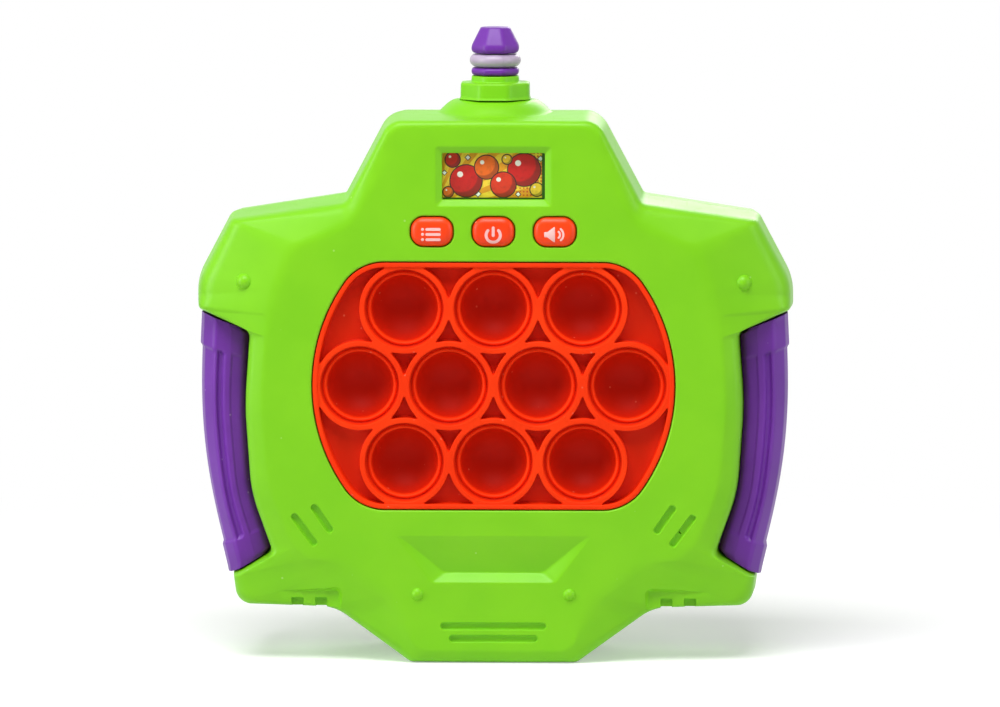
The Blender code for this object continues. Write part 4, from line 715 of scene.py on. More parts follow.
def evenOnLevel(ring, level, count):
    # a closed line on a level of the field with its points spread evenly
    for _ in range(6):
        ring = onLevel(spaced(ring, count), level)
    return ring


def pocketRing(line):
    # one pocket's outline: evenly spread, set on the field's zero and turned anticlockwise
    length = np.linalg.norm(line - np.roll(line, 1, axis=0), axis=1).sum()
    ring = evenOnLevel(line, 0, int(length / silicone["pocketStep"]))
    after = np.roll(ring, -1, axis=0)
    area = (ring[:, 0] * after[:, 1] - ring[:, 1] * after[:, 0]).sum()
    return ring if area > 0 else ring[::-1]


# how finely the pockets are looked for: lines round a middle with their length and steps, points
# on the rim with the length and steps of their lines and the lots they are worked out in, and the
# fewest points that make a pocket
search = {"rays": 720, "far": 9, "steps": 400, "rimPoints": 5000, "deep": 16, "deepSteps": 320,
          "lots": 8, "fewest": 20}


def innerPockets():
    # between three rings: lines run out from their common middle to the field's zero
    spots = np.array(bubbles)
    third = pad["pitch"] / math.sqrt(3)
    middles = [spot + (0, third * up) for spot in spots for up in (1, -1)]
    middles = [middle for middle in middles
               if (np.abs(np.linalg.norm(spots - middle, axis=1) - third) < 0.1).sum() == 3]
    along = onCircle(0, 0, 1, np.linspace(0, 2 * math.pi, search["rays"] + 1)[:-1])
    far = np.linspace(0, search["far"], search["steps"])
    rings = []
    for middle in middles:
        solid = padField(middle + along[:, None] * far[:, None]) <= 0
        rings.append(pocketRing(middle + along * far[solid.argmax(axis=1)][:, None]))
    return rings


def rimPockets():
    # between the rim and two rings: lines run in from the rim, and the first stretch above zero
    # on each gives a point near the rim and a point near a ring
    rim = spaced(padRing(gap + silicone["rim"] - silicone["hidden"]), search["rimPoints"])
    inwards = -outwards(rim)
    deep = np.linspace(0.0, search["deep"], search["deepSteps"] + 1)
    above = np.concatenate([padField(rim[:, None] + inwards[:, None] * part[:, None]) > 0
                            for part in np.array_split(deep, search["lots"])], axis=1)
    starts = above.argmax(axis=1)
    later = np.arange(len(deep))[None] > starts[:, None]
    ends = (~above & later).argmax(axis=1)
    exists = above.any(axis=1)
    shift = -int(np.argmin(exists))
    near, far = (np.roll(rim + inwards * deep[index][:, None], shift, axis=0)
                 for index in (starts, ends))
    change = np.diff(np.concatenate([[0], np.roll(exists, shift).astype(int), [0]]))
    runs = zip(np.nonzero(change == 1)[0], np.nonzero(change == -1)[0])
    return [pocketRing(np.concatenate([near[first:last], far[first:last][::-1]]))
            for first, last in runs if last - first > search["fewest"]]


def bubblePad(material):
    # rings and webs are one level top with pockets and wells sunk into it, and the rim is a bead
    # that stands a little higher round them
    front, rearFace, top = (silicone[key] for key in ("plateFront", "plateBack", "ringTop"))
    edge, support = silicone["edge"], silicone["edge"] + silicone["support"]
    arc, seam = quarterArc(4), padRing(gap + silicone["seam"])
    parts, holes, mouths = [], [seam], []
    for ring in innerPockets() + rimPockets():
        away = outwards(ring)
        rows = [atDepth(ring + away * support, top)]
        rows += [atDepth(ring + away * edge * across, top + edge * down) for across, down in arc]
        for level, y in silicone["pocketRows"]:
            ring = evenOnLevel(onLevel(ring, level), level, len(ring))
            rows.append(atDepth(ring, y))
        addHole(rows, parts, holes)
    well, mouthRadius = silicone["well"], silicone["mouth"]
    profile = [(well + support, top)]
    profile += [(well + edge * across, top + edge * down) for across, down in arc]
    profile += [(well - inwards, y) for inwards, y in silicone["wellFoot"]]
    profile += [(mouthRadius + 0.2, front), (mouthRadius, front + 0.2), (mouthRadius, rearFace)]
    for x, z in bubbles:
        rows = [atDepth(circleRing(x, z, radius, 120), y) for radius, y in profile]
        addHole(rows, parts, holes, mouths)
    parts.append(flatFill(holes, top))
    rim, high, bead, flange = (silicone[key] for key in ("rim", "rimTop", "bead", "flange"))
    profile = [(-flange, rearFace), (-flange, front), (0, front), (0, -20.4)]
    profile += [(bead * down, high + bead * across) for across, down in arc]
    profile += [(rim / 2, high - 0.03)]
    profile += [(rim - bead * across, high + bead * down) for across, down in arc]
    profile += [(rim + inwards, y) for inwards, y in silicone["rimFoot"]]
    rows = [atDepth(padRing(gap + inwards), y) for inwards, y in profile]
    parts += [skin(rows + [atDepth(seam, top)]), flatFill([plan(rows[0])] + mouths, rearFace)]
    return newPiece("bubblePad", parts, material)


bubble = {
    "radius": 9.0, "depth": 7.5, "skin": 1.2, "rows": 26,
    # lip: distance beyond the radius, depth below the pad's ledge
    "lip": ((0.04, -0.02), (0.1, -0.2), (0.22, -0.38), (0.42, -0.5), (0.66, -0.5), (0.86, -0.38),
            (0.98, -0.2), (1.03, -0.02), (0.3, 0.02), (0.26, 0.4)),
}


def bubbleBowl(number, centre, material):
    # a pushed-in bowl, an ellipse over the distance from the middle, whose rounded lip lies on
    # the pad's ledge
    angle = np.linspace(0.04, math.pi / 2, bubble["rows"])[:-1]
    radius, ledge = bubble["radius"], silicone["plateFront"]
    deep = ledge + 0.1 + (bubble["depth"] - 0.1) * np.cos(angle)
    profile = list(zip(radius * np.sin(angle), deep))
    profile += [(radius + beyond, ledge + down) for beyond, down in bubble["lip"]]
    profile += list(zip((radius + 0.2) * np.sin(angle), deep + bubble["skin"]))[::-1]
    x, z = centre
    rows = [atDepth(circleRing(x, z, r), y) for r, y in profile]
    piece = newPiece(f"bubble{number}", closedLoft(rows), material, body=None)
    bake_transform(piece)
    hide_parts(f"bubble_crown_{number}", f"bubble_wall_{number}")


# Buttons

def buttonCrown(inset):
    # depth of the pillow below its top over the distance in from its side
    part = np.clip(inset / buttons["pillow"], 0, 1)
    return buttons["pillowDepth"] * (1 - part ** 0.9) ** 3.2


def pushButton(name, node, body, x, material):
    # a pillow on straight sides, with a flange behind the face and a stem to its switch
    def outline(width, height, corner):
        return boxRing(x, buttons["z"], width, height, corner, 10, 8)

    width, height, corner = (buttons[key] for key in ("width", "height", "corner"))
    flange, top = buttons["flange"], buttons["top"]
    rows = [atDepth(outline(width - 2 * i, height - 2 * i, corner - i * 0.98), top + buttonCrown(i))
            for i in buttons["pillow"] * np.linspace(1, 0, 15) ** 1.6]
    side = outline(width, height, corner)
    wide = outline(width + flange, height + flange, corner + flange / 2)
    stem = outline(buttons["stem"], buttons["stem"], buttons["stem"] / 2 - 0.01)
    front, rearFace = buttons["flangeFront"], buttons["flangeBack"]
    rows += [atDepth(side, front), atDepth(wide, front), atDepth(wide, rearFace),
             atDepth(stem, rearFace), atDepth(stem, buttons["stemEnd"])]
    piece = newPiece(name, closedLoft(rows), material, body=body)
    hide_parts(node)


def buttonInset(points):
    # distance in from the side of a button that stands about the origin
    corner = buttons["corner"]
    beyond = np.abs(points) - (buttons["width"] / 2 - corner, buttons["height"] / 2 - corner)
    inside = np.minimum(beyond.max(axis=-1), 0)
    return corner - np.linalg.norm(np.maximum(beyond, 0), axis=-1) - inside


# Printed icons

icons = {
    "lift": 0.07, "sunk": -0.1, "round": 0.05, "centre": -0.65,
    "menuRows": (1.36, 0.0, -1.42), "dot": (-2.45, 0.8), "bar": (-1.3, 2.06, 0.67),
    "power": {"radius": 1.9, "width": 0.7, "open": 48, "down": -0.18, "bar": (1.8, -0.25)},
    "cone": ((-2.82, -0.7), (-2.0, -0.7), (0.05, -2.25), (0.05, 2.25), (-2.0, 0.7), (-2.82, 0.7)),
    "coneCorner": 0.2,
    "waves": {"middle": 0.35, "radii": (1.05, 1.95), "width": 0.45, "spread": 50},
}


def strokeRing(path, width, steps=8):
    # outline of a line drawn with a round pen: both sides at half the width and a half circle
    # about each end
    path = np.asarray(path, float)
    along = unit(np.gradient(path, axis=0))
    across = np.stack([-along[:, 1], along[:, 0]], axis=1)
    half = width / 2
    turn = (np.arange(1, steps) * math.pi / steps)[:, None]
    end, start = (path[at] + sign * half * (across[at] * np.cos(turn) + along[at] * np.sin(turn))
                  for at, sign in ((-1, 1), (0, -1)))
    return np.concatenate([path + across * half, end, (path - across * half)[::-1], start])


def barRing(start, end, width):
    # a straight stroke
    start, end = np.array(start), np.array(end)
    return strokeRing([start, (start + end) / 2, end], width)


def arcPath(x, z, radius, first, last):
    # points of a circle between two angles in degrees
    return onCircle(x, z, radius, np.radians(np.linspace(first, last, 40)))


def inkPatch(ring, x):
    # a thin raised print whose depth follows the button's pillow
    def onPillow(points, lift):
        return buttons["top"] + buttonCrown(buttonInset(points)) - lift

    lift, sunk, out = icons["lift"], icons["sunk"], outwards(ring)
    rows = [atDepth(ring + out * grow, onPillow(ring + out * grow, up))
            for grow, up in ((0.0, sunk), (0.0, lift * 0.6), (-icons["round"], lift))]
    parts = [skin(rows)]
    for row, up in ((rows[0], sunk), (rows[-1], lift)):
        points, faces = flatFill([plan(row)], 0.0)
        points[:, 1] = onPillow(plan(points), up)
        parts.append((points, faces))
    return [(points + (x, 0, buttons["z"]), faces) for points, faces in parts]


def icon(name, body, x, rings, material):
    # the patches of one symbol as a piece that rides on its button
    parts = [part for ring in rings for part in inkPatch(ring, x)]
    piece = newPiece(name, parts, material, body=body)


def iconRings():
    # outlines of a list with dots, an open circle with a bar, and a loudspeaker with two waves
    middle = icons["centre"]
    dotX, dotWidth = icons["dot"]
    barStart, barEnd, barWidth = icons["bar"]
    menu = []
    for z in (middle + row for row in icons["menuRows"]):
        menu.append(circleRing(dotX, z, dotWidth / 2, 24))
        menu.append(barRing((barStart, z), (barEnd, z), barWidth))
    look = icons["power"]
    high, low = (middle + end for end in look["bar"])
    opening = look["open"]
    circle = arcPath(0, middle + look["down"], look["radius"], 90 + opening, 450 - opening)
    power = [strokeRing(circle, look["width"]), barRing((0, low), (0, high), look["width"])]
    cone = np.array(icons["cone"]) + (0, middle)
    look = icons["waves"]
    sound = [roundedPolygon(cone, icons["coneCorner"], 4, 3)]
    for radius in look["radii"]:
        wave = arcPath(look["middle"], middle, radius, -look["spread"], look["spread"])
        sound.append(strokeRing(wave, look["width"]))
    return menu, power, sound


# Card, door and screws

cardPlate = {
    "width": 30.8, "height": 15.8, "corner": 0.7,
    # edge: distance in from the outline, depth
    "edge": ((0.08, -18.5), (0.02, -18.47), (0, -18.4), (0, -17.8), (0.02, -17.73), (0.08, -17.7)),
}


def pictureCard(material):
    # a thin plate with softened edges
    width, height, corner = (cardPlate[key] for key in ("width", "height", "corner"))
    rows = [atDepth(boxRing(0, window["z"], width - 2 * inwards, height - 2 * inwards,
                            corner - inwards, 5, 8), y)
            for inwards, y in cardPlate["edge"]]
    ends = [flatFill([plan(row)], row[0, 1]) for row in (rows[0], rows[-1])]
    piece = newPiece("pictureCard", [skin(rows)] + ends, material)
    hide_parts("picture_card")


door = {
    "edge": 0.4, "thick": 2.0, "inner": 0.15, "lip": 0.18,
    "grooveZ": (36.185, 38.585, 40.985), "grooveHalf": 7.0, "grooveWidth": 1.2,
    "grooveRows": ((-0.05, 0.5), (-0.12, 0.64), (-0.25, 0.7)),
    "screwZ": 91.785, "hole": 1.7, "sink": 3.3, "sinkDepth": 1.0,
}


def batteryDoor(material):
    # a plate with rounded edges, three finger grooves and a sunk screw hole; worked out as seen
    # from the front and turned to face the back
    top, edge, lip, sunk = -case["back"], door["edge"], door["lip"], door["sinkDepth"]
    inner, softened = top + door["thick"], door["inner"]

    def outline(inwards):
        return boxRing(0, back["doorZ"], back["doorWidth"] - 2 * inwards,
                       back["doorHeight"] - 2 * inwards, back["doorCorner"] - inwards, 8, 12)

    rows = [atDepth(outline(softened), inner), atDepth(outline(0), inner - softened)]
    rows += [atDepth(outline(edge * down), top + edge * across) for across, down in quarterArc(5)]
    rows.append(atDepth(outline(edge + 0.3), top))
    parts, holes, bores = [skin(rows)], [plan(rows[-1])], [plan(rows[0])]
    for z in door["grooveZ"]:
        ring = slotRing((-door["grooveHalf"], z), (door["grooveHalf"], z), door["grooveWidth"])
        addHole(lipRows(ring, top, lip, door["grooveRows"]), parts, holes)
    sink = lipRows(circleRing(0, door["screwZ"], door["sink"], 48), top, lip, [(0, sunk)])
    hole = circleRing(0, door["screwZ"], door["hole"], 48)
    addHole(sink + [atDepth(hole, top + sunk), atDepth(hole, inner)], parts, holes, bores)
    parts += [flatFill(holes, top), flatFill(bores, inner)]
    parts = [(points * (1, -1, 1), faces) for points, faces in parts]
    piece = newPiece("batteryDoor", parts, material, body="battery_cover")
    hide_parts("battery_door")


screw = {
    "radius": 1.4, "head": 3.0, "pitch": 0.8, "thread": 0.16, "arm": 0.42, "reach": 1.7,
    "soft": 0.7, "cross": 1.3,
    # depths of the tip, the seat and the top of the head
    "case": (-8.1, 8.9, 11.1), "door": (14.9, 22.2, 22.9),
}


def crossScrew(name, node, body, x, z, depths, material):
    # a pan head with a tapered cross sunk into it, on a shank whose radius swings with the thread
    tip, seat, top = depths
    height, radius, head = top - seat, screw["radius"], screw["head"]
    soft = min(screw["soft"], height * 0.7)
    shank = np.arange(tip + 1.0, seat - 0.3, screw["pitch"] / 4)
    swing = np.cos(2 * math.pi * (shank - tip) / screw["pitch"])
    profile = [(0.25, tip), (0.6, tip + 0.4)]
    profile += list(zip(radius - screw["thread"] * (0.5 - 0.5 * swing), shank))
    profile += [(radius, seat), (head - 0.1, seat), (head, seat + 0.1)]
    profile += [(head - soft * 1.6 * down, top - soft * across) for across, down in quarterArc(6)]
    rows = [atDepth(circleRing(x, z, wide, 40), y) for wide, y in profile]
    piece = newPiece(name, closedLoft(rows), material, body=body)
    arm, reach = screw["arm"], screw["reach"]
    quarter = np.array([(reach, -arm), (reach, arm), (arm, arm)])
    turned = np.stack([-quarter[:, 1], quarter[:, 0]], axis=1)
    cross = np.concatenate([quarter, turned, -quarter, -turned])
    cutFrom(piece, closedLoft([atDepth(cross * share + (x, z), y) for share, y in (
        (1.05, top + 0.3), (1.0, top), (0.45, top - min(screw["cross"], height * 0.65)))]))
    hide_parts(node)


# Beacon

def octagonRing(width, z, corner):
    # eight-sided ring with a flat side to the front; width is from the middle to a side
    turn = math.pi / 8 + np.arange(8) * math.pi / 4 - math.pi / 2
    ring = roundedPolygon(onCircle(0, 0, width / math.cos(math.pi / 8), turn), corner, 8, 5)
    return np.stack([ring[:, 0], ring[:, 1], np.full(len(ring), z)], axis=1)


def facetedPiece(name, node, look, material):
    # rings carried up a profile of (width, height above the head, reach of the bend) rows
    base = case["corners"][-1, 1]
    widths, heights, bends = zip(*look["profile"])
    controls = [octagonRing(width, base + z, min(look["corner"], width * 0.9))
                for width, z in zip(widths, heights)]
    piece = newPiece(name, closedLoft(bentRows(controls, bends[1:-1], 5)), material)
    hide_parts(node)


beacon = {
    "collar": {"corner": 3.2, "profile": (
        (5.5, -5.6, 0), (5.5, -4.4, 0.1), (3.0, -4.4, 0.1), (3.0, 3.3, 0.1), (9.62, 3.36, 0.05),
        (9.36, 4.0, 0.35), (9.28, 7.9, 0.7), (6.5, 7.9, 0.4), (6.35, 9.6, 0.3), (2.2, 9.6, 0.1),
        (2.2, 17.2, 0))},
    "lower": {"corner": 2.6, "profile": (
        (2.5, 9.9, 0), (6.05, 9.9, 0.35), (6.42, 10.5, 0.35), (6.42, 11.3, 0.35),
        (6.0, 11.8, 0.35), (2.5, 11.8, 0))},
    "light": {"corner": 6.0, "profile": (
        (2.5, 12.1, 0), (5.9, 12.1, 0.5), (6.75, 12.9, 0.6), (6.98, 13.8, 0.5),
        (6.75, 14.7, 0.6), (5.9, 15.5, 0.5), (2.5, 15.5, 0))},
    "cap": {"corner": 2.4, "profile": (
        (2.5, 15.8, 0), (5.8, 15.8, 0.35), (6.42, 16.5, 0.45), (6.4, 17.8, 0.8),
        (3.95, 22.7, 0.5), (0.3, 22.8, 0))},
}


# Grips

grip = {
    "bow": 3.4, "halfDepth": 14.8, "proud": 0.55, "footX": 71.84, "headX": 78.8, "gap": 0.35,
    "sideGap": 0.12, "cornerGap": 1.0, "follow": 1.1, "caseDepth": 20, "pegZ": (44.45, 80.01),
    "pegRadius": 2.5, "pegReach": (-6, 2), "waistX": (60, 70), "waistZ": (29.9, 89.1),
    # shares of the grip's length: its rounded ends, the run that follows the draft, and where the
    # bar's shape starts to rise and to fall with the length of each change
    "cornerShare": 0.025, "endShare": 0.1, "barEdges": ((0.093, 0.02), (0.872, 0.018)),
    # runs of stations along the grip: first and last share, count
    "stations": ((0, 0.02, 4), (0.03, 0.085, 4), (0.09, 0.12, 8), (0.14, 0.85, 44), (0.865, 0.9, 8),
                 (0.91, 0.98, 4), (0.985, 1, 4)),
    # section of the bar: share of its width from the case outwards, share of its half depth
    "bar": ((0.0, 0.76), (0.09, 0.885), (0.30, 0.935), (0.34, 0.96), (0.46, 0.975), (0.51, 0.925),
            (0.58, 0.925), (0.645, 1.0), (0.72, 0.95), (0.92, 0.74), (1.0, 0.52)),
    "block": ((0.0, 0.78), (0.09, 0.905), (0.30, 0.955), (0.34, 0.965), (0.47, 0.98), (0.52, 0.985),
              (0.58, 0.992), (0.645, 1.0), (0.72, 0.965), (0.92, 0.76), (1.0, 0.54)),
    "back": ((1.0, -0.52), (0.85, -0.80), (0.60, -0.93), (0.10, -0.89), (0.0, -0.76)),
    "radii": (0.8, 1.5, 0.8, 0.8, 1.3, 1.5, 1.5, 1.6, 2.0, 2.0, 2.0, 2.0, 2.0, 2.0, 1.5, 0.8),
}


def smoothStep(value):
    # from 0 to 1 with soft ends
    value = np.clip(value, 0, 1)
    return value * value * (3 - 2 * value)


def sideGrip(name, node, side, material):
    # stations from foot to head run from the case's side to a bowed outer line; each carries a
    # rounded section that changes from the block's to the bar's and back, and the inner side and
    # both ends follow the draft of the case over the depth
    tip, inner, upper, upperTip = case["corners"][[3, 4, 7, 8], :2]

    def lineBeside(start, end, away):
        along = unit(end - start)
        normal = np.array([-along[1], along[0]])
        return start + normal * np.sign(normal[1]) * away * grip["gap"], along

    def onLine(line, x):
        start, along = line
        return np.array([x, start[1] + along[1] * (x - start[0]) / along[0]])

    foot, head = lineBeside(inner, tip, 1), lineBeside(upper, upperTip, -1)
    innerFoot = onLine(foot, inner[0] + grip["cornerGap"])
    innerHead = onLine(head, upper[0] + grip["cornerGap"])
    outerFoot, outerHead = onLine(foot, grip["footX"]), onLine(head, grip["headX"])
    shares = np.concatenate([np.linspace(*run) for run in grip["stations"]])
    outline = caseRing(0)
    low, high = np.array([grip["waistX"], grip["waistZ"]]).T
    waist = outline[((outline > low) & (outline < high)).all(axis=1)]
    waist = waist[np.argsort(waist[:, 1])]
    innerLine = innerFoot + (innerHead - innerFoot) * shares[:, None]
    beside = np.interp(innerLine[:, 1], waist[:, 1], waist[:, 0]) + grip["sideGap"]
    corner = smoothStep(np.minimum(shares, 1 - shares) / grip["cornerShare"])
    run = grip["endShare"]
    ends = smoothStep((shares - (1 - run)) / run) - smoothStep((run - shares) / run)
    innerLine[:, 0] = innerLine[:, 0] * (1 - corner) + beside * corner
    rise, fall = (smoothStep((shares - first) / length) for first, length in grip["barEdges"])
    block = 1 - rise * (1 - fall)
    outerLine = outerFoot + (outerHead - outerFoot) * shares[:, None]
    outerLine[:, 0] += grip["bow"] * np.sin(math.pi * shares) + grip["proud"] * block
    start = onLine(foot, outerLine[0, 0])[1] - outerLine[0, 1]
    end = onLine(head, outerLine[-1, 0])[1] - outerLine[-1, 1]
    outerLine[:, 1] += np.where(shares < 0.5, start, end) * (1 - corner)
    bar, blockShape, rear = (np.array(grip[key]) for key in ("bar", "block", "back"))
    rows = []
    for number, share in enumerate(block):
        toOuter = outerLine[number] - innerLine[number]
        width = np.linalg.norm(toOuter)
        shape = np.concatenate([bar * (1 - share) + blockShape * share, rear])
        ring = roundedPolygon(shape * (width, grip["halfDepth"]), grip["radii"], 5, 2)
        across, draft = ring[:, :1] / width, grip["follow"] * np.abs(ring[:, 1]) / grip["caseDepth"]
        spot = innerLine[number] + toOuter * across
        spot[:, 0] -= draft * (1 - across[:, 0]) ** 2 * corner[number]
        spot[:, 1] += draft * ends[number]
        rows.append(np.stack([side * spot[:, 0], -ring[:, 1], spot[:, 1]], axis=1))
    small = [row.mean(axis=0) + (row - row.mean(axis=0)) * 0.97 for row in (rows[0], rows[-1])]
    parts = closedLoft([small[0]] + rows + [small[1]])
    for z in grip["pegZ"]:
        x = np.interp(z, waist[:, 1], waist[:, 0])
        peg = circleRing(0, z, grip["pegRadius"], 24)
        pegRows = [np.stack([np.full(24, side * (x + reach)), peg[:, 0], peg[:, 1]], axis=1)
                   for reach in grip["pegReach"]]
        parts += [skin(pegRows), fan(pegRows[0])]
    piece = newPiece(name, parts, material)
    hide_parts(node)


# Materials

def colour(red, green, blue):
    # a colour of 0 to 255 values as the linear values that a material takes
    parts = np.array((red, green, blue)) / 255
    linear = np.where(parts <= 0.04045, parts / 12.92, ((parts + 0.055) / 1.055) ** 2.4)
    return (*linear.tolist(), 1.0)


def link(tree, source, target):
    tree.links.new(source, target)


def addNode(tree, kind, settings=None, **inputs):
    # a shader node whose inputs are values or sockets; a name like in0 means an input by number
    node = tree.nodes.new("ShaderNode" + kind)
    for key, value in (settings or {}).items():
        setattr(node, key, value)
    for key, value in inputs.items():
        byNumber = key[:2] == "in" and key[2:].isdigit()
        socket = node.inputs[int(key[2:]) if byNumber else key]
        if isinstance(value, bpy.types.NodeSocket):
            link(tree, value, socket)
        else:
            socket.default_value = value
    return node


def maths(tree, operation, first, second=0.0, third=0.0):
    return addNode(tree, "Math", {"operation": operation}, in0=first, in1=second,
                   in2=third).outputs[0]


def mixed(tree, share, first, second):
    # two colours mixed; one of three parts is of 0 to 255 values
    first, second = (colour(*value) if isinstance(value, tuple) and len(value) == 3 else value
                     for value in (first, second))
    return addNode(tree, "Mix", {"data_type": "RGBA"}, in0=share, in6=first, in7=second).outputs[2]


def ranged(tree, value, low, high, toLow=0.0, toHigh=1.0):
    # a value carried from one range to another, kept within it, with soft ends
    return addNode(tree, "MapRange", {"interpolation_type": "SMOOTHSTEP"}, in0=value, in1=low,
                   in2=high, in3=toLow, in4=toHigh).outputs[0]


def noise(tree, where, scale, detail, roughness=0.5):
    # soft noise from 0 to 1
    return addNode(tree, "TexNoise", Vector=where, Scale=scale, Detail=detail,
                   Roughness=roughness).outputs["Fac"]


def newGroup(name, inputs, outputs):
    tree = bpy.data.node_groups.new(name, "ShaderNodeTree")
    for label, kind, value in inputs:
        socket = tree.interface.new_socket(label, in_out="INPUT", socket_type="NodeSocket" + kind)
        if value is not None:
            socket.default_value = value
    for label, kind in outputs:
        tree.interface.new_socket(label, in_out="OUTPUT", socket_type="NodeSocket" + kind)
    return tree, tree.nodes.new("NodeGroupInput"), tree.nodes.new("NodeGroupOutput")


def grainGroup():
    # moulded grain: fine noise for the tool's spark texture, with slow waves under it
    tree, given, put = newGroup(
        "mouldedGrain",
        [("Place", "Vector", None), ("Scale", "Float", 2600.0), ("Waves", "Float", 0.4)],
        [("Height", "Float"), ("Patches", "Float")])
    fine = noise(tree, given.outputs["Place"], given.outputs["Scale"], 2.0, 0.6)
    slow = noise(tree, given.outputs["Place"], 60.0, 2.0)
    wavy = maths(tree, "MULTIPLY", slow, given.outputs["Waves"])
    link(tree, maths(tree, "ADD", fine, wavy), put.inputs["Height"])
    link(tree, ranged(tree, slow, 0.3, 0.7), put.inputs["Patches"])
    return tree


def wearGroup():
    # handling: hair scratches from stretched noise, and smudges that change the gloss
    tree, given, put = newGroup(
        "handlingWear", [("Place", "Vector", None), ("Scratches", "Float", 0.5)],
        [("Scratch", "Float"), ("Smudge", "Float")])
    where, lines = given.outputs["Place"], []
    for angle, stretch in ((0.5, (1.0, 1.0, 26.0)), (-0.9, (24.0, 1.0, 1.0))):
        turned = addNode(tree, "Mapping", Vector=where, Rotation=(0.0, angle, 0.0), Scale=stretch)
        lines.append(ranged(tree, noise(tree, turned.outputs["Vector"], 95.0, 1.0), 0.66, 0.72))
    scratch = maths(tree, "MULTIPLY", maths(tree, "MAXIMUM", *lines), given.outputs["Scratches"])
    link(tree, scratch, put.inputs["Scratch"])
    link(tree, ranged(tree, noise(tree, where, 34.0, 4.0, 0.62), 0.38, 0.66), put.inputs["Smudge"])
    return tree


def speckGroup():
    # dust: small round dots at some cells of a scattered pattern
    tree, given, put = newGroup(
        "dustSpecks",
        [("Place", "Vector", None), ("Scale", "Float", 420.0), ("Share", "Float", 0.12)],
        [("Mask", "Float")])
    cells = addNode(tree, "TexVoronoi", Vector=given.outputs["Place"], Scale=given.outputs["Scale"])
    parts = addNode(tree, "SeparateColor", in0=cells.outputs["Color"])
    chosen = maths(tree, "LESS_THAN", parts.outputs[0], given.outputs["Share"])
    dot = ranged(tree, cells.outputs["Distance"], 0.16, 0.07)
    link(tree, maths(tree, "MULTIPLY", chosen, dot), put.inputs["Mask"])
    return tree


grain, wear, specks = grainGroup(), wearGroup(), speckGroup()


def place(tree):
    # object coordinates
    return addNode(tree, "TexCoord").outputs["Object"]


def worn(tree, scratches):
    # the handling group's masks of scratches and smudges
    group = addNode(tree, "Group", {"node_tree": wear}, Place=place(tree), Scratches=scratches)
    return group.outputs["Scratch"], group.outputs["Smudge"]


def blankMaterial(name):
    # a new material with its nodes and its shader
    material = bpy.data.materials.new(name)
    material.use_nodes = True
    tree = material.node_tree
    return material, tree, tree.nodes["Principled BSDF"]


def linkFinish(tree, shader, base, rough, height, strength, distance):
    # gives the shader its colour, its gloss and a bump whose distance is in millimetres
    bump = addNode(tree, "Bump", Strength=strength, Distance=distance * mm, Height=height)
    link(tree, base, shader.inputs["Base Color"])
    link(tree, rough, shader.inputs["Roughness"])
    link(tree, bump.outputs["Normal"], shader.inputs["Normal"])


def mouldedMaterial(name, look):
    # plastic or rubber: colour drifts slightly in patches and, in silicone, painted shade darkens
    # the colour where it lies deeper; gloss changes with smudges and scratches, and a fine grain
    # lifts the surface
    material, tree, shader = blankMaterial(name)
    where = place(tree)
    grained = addNode(tree, "Group", {"node_tree": grain}, Place=where, Scale=look["grainScale"],
                      Waves=look["waves"])
    dusty = addNode(tree, "Group", {"node_tree": specks}, Place=where, Share=look["dust"])
    scratch, smudge = worn(tree, look["scratches"])
    base = mixed(tree, grained.outputs["Patches"], look["deep"], look["light"])
    # painted shade: the silicone's colour darkens towards the shaded colour as it lies deeper
    if name in depths:
        start, end, tint = depths[name]
        level = addNode(tree, "SeparateXYZ", in0=where).outputs[1]
        base = mixed(tree, ranged(tree, level, start * mm, end * mm), base, tint)
    base = mixed(tree, maths(tree, "MULTIPLY", dusty.outputs["Mask"], 0.5), base, look["speck"])
    rough = maths(tree, "MULTIPLY_ADD", smudge, look["smudge"], look["roughness"])
    rough = maths(tree, "MULTIPLY_ADD", scratch, 0.12, rough)
    height = maths(tree, "MULTIPLY_ADD", scratch, -0.6, grained.outputs["Height"])
    linkFinish(tree, shader, base, rough, height, look["bump"], look["grainHeight"])
    for socket, value in sockets.get(name, {}).items():
        shader.inputs[socket].default_value = value
    return material


# colours of the patches and of dust; roughness and what smudges add to it; the grain's scale, its
# height in millimetres and its slow waves; strength of scratches, share of dust, and bump
lookParts = ("deep", "light", "speck", "roughness", "smudge", "grainScale", "grainHeight", "waves",
             "scratches", "dust", "bump")
looks = {
    "green plastic": ((122, 202, 16), (127, 206, 19), (190, 225, 140),
                      0.36, 0.07, 2400.0, 0.012, 0.5, 0.35, 0.03, 0.6),
    "purple plastic": ((104, 38, 152), (114, 46, 164), (170, 130, 200),
                       0.33, 0.08, 2600.0, 0.012, 0.5, 0.45, 0.05, 0.6),
    "red silicone": ((244, 52, 4), (250, 60, 7), (240, 130, 100),
                     0.5, 0.1, 1900.0, 0.02, 0.8, 0.1, 0.14, 0.7),
    "orange plastic": ((242, 58, 2), (248, 66, 5), (250, 170, 140),
                       0.3, 0.08, 3000.0, 0.008, 0.4, 0.4, 0.06, 0.5),
    "milky plastic": ((176, 158, 184), (188, 172, 194), (235, 230, 238),
                      0.26, 0.08, 2600.0, 0.006, 0.5, 0.3, 0.04, 0.5),
    "white plastic": ((222, 222, 214), (232, 231, 224), (180, 176, 166),
                      0.42, 0.08, 2300.0, 0.012, 0.5, 0.4, 0.06, 0.6),
    "speaker plastic": ((30, 30, 32), (42, 42, 44), (110, 108, 104),
                        0.5, 0.12, 1500.0, 0.03, 0.4, 0.3, 0.1, 0.8),
    "icon ink": ((244, 182, 180), (250, 196, 192), (255, 225, 220),
                 0.45, 0.1, 4200.0, 0.006, 0.3, 0.2, 0.05, 0.5),
}
# the bowls use the red silicone's look with their own painted shade, set deeper in the table below
looks["bowl silicone"] = looks["red silicone"]
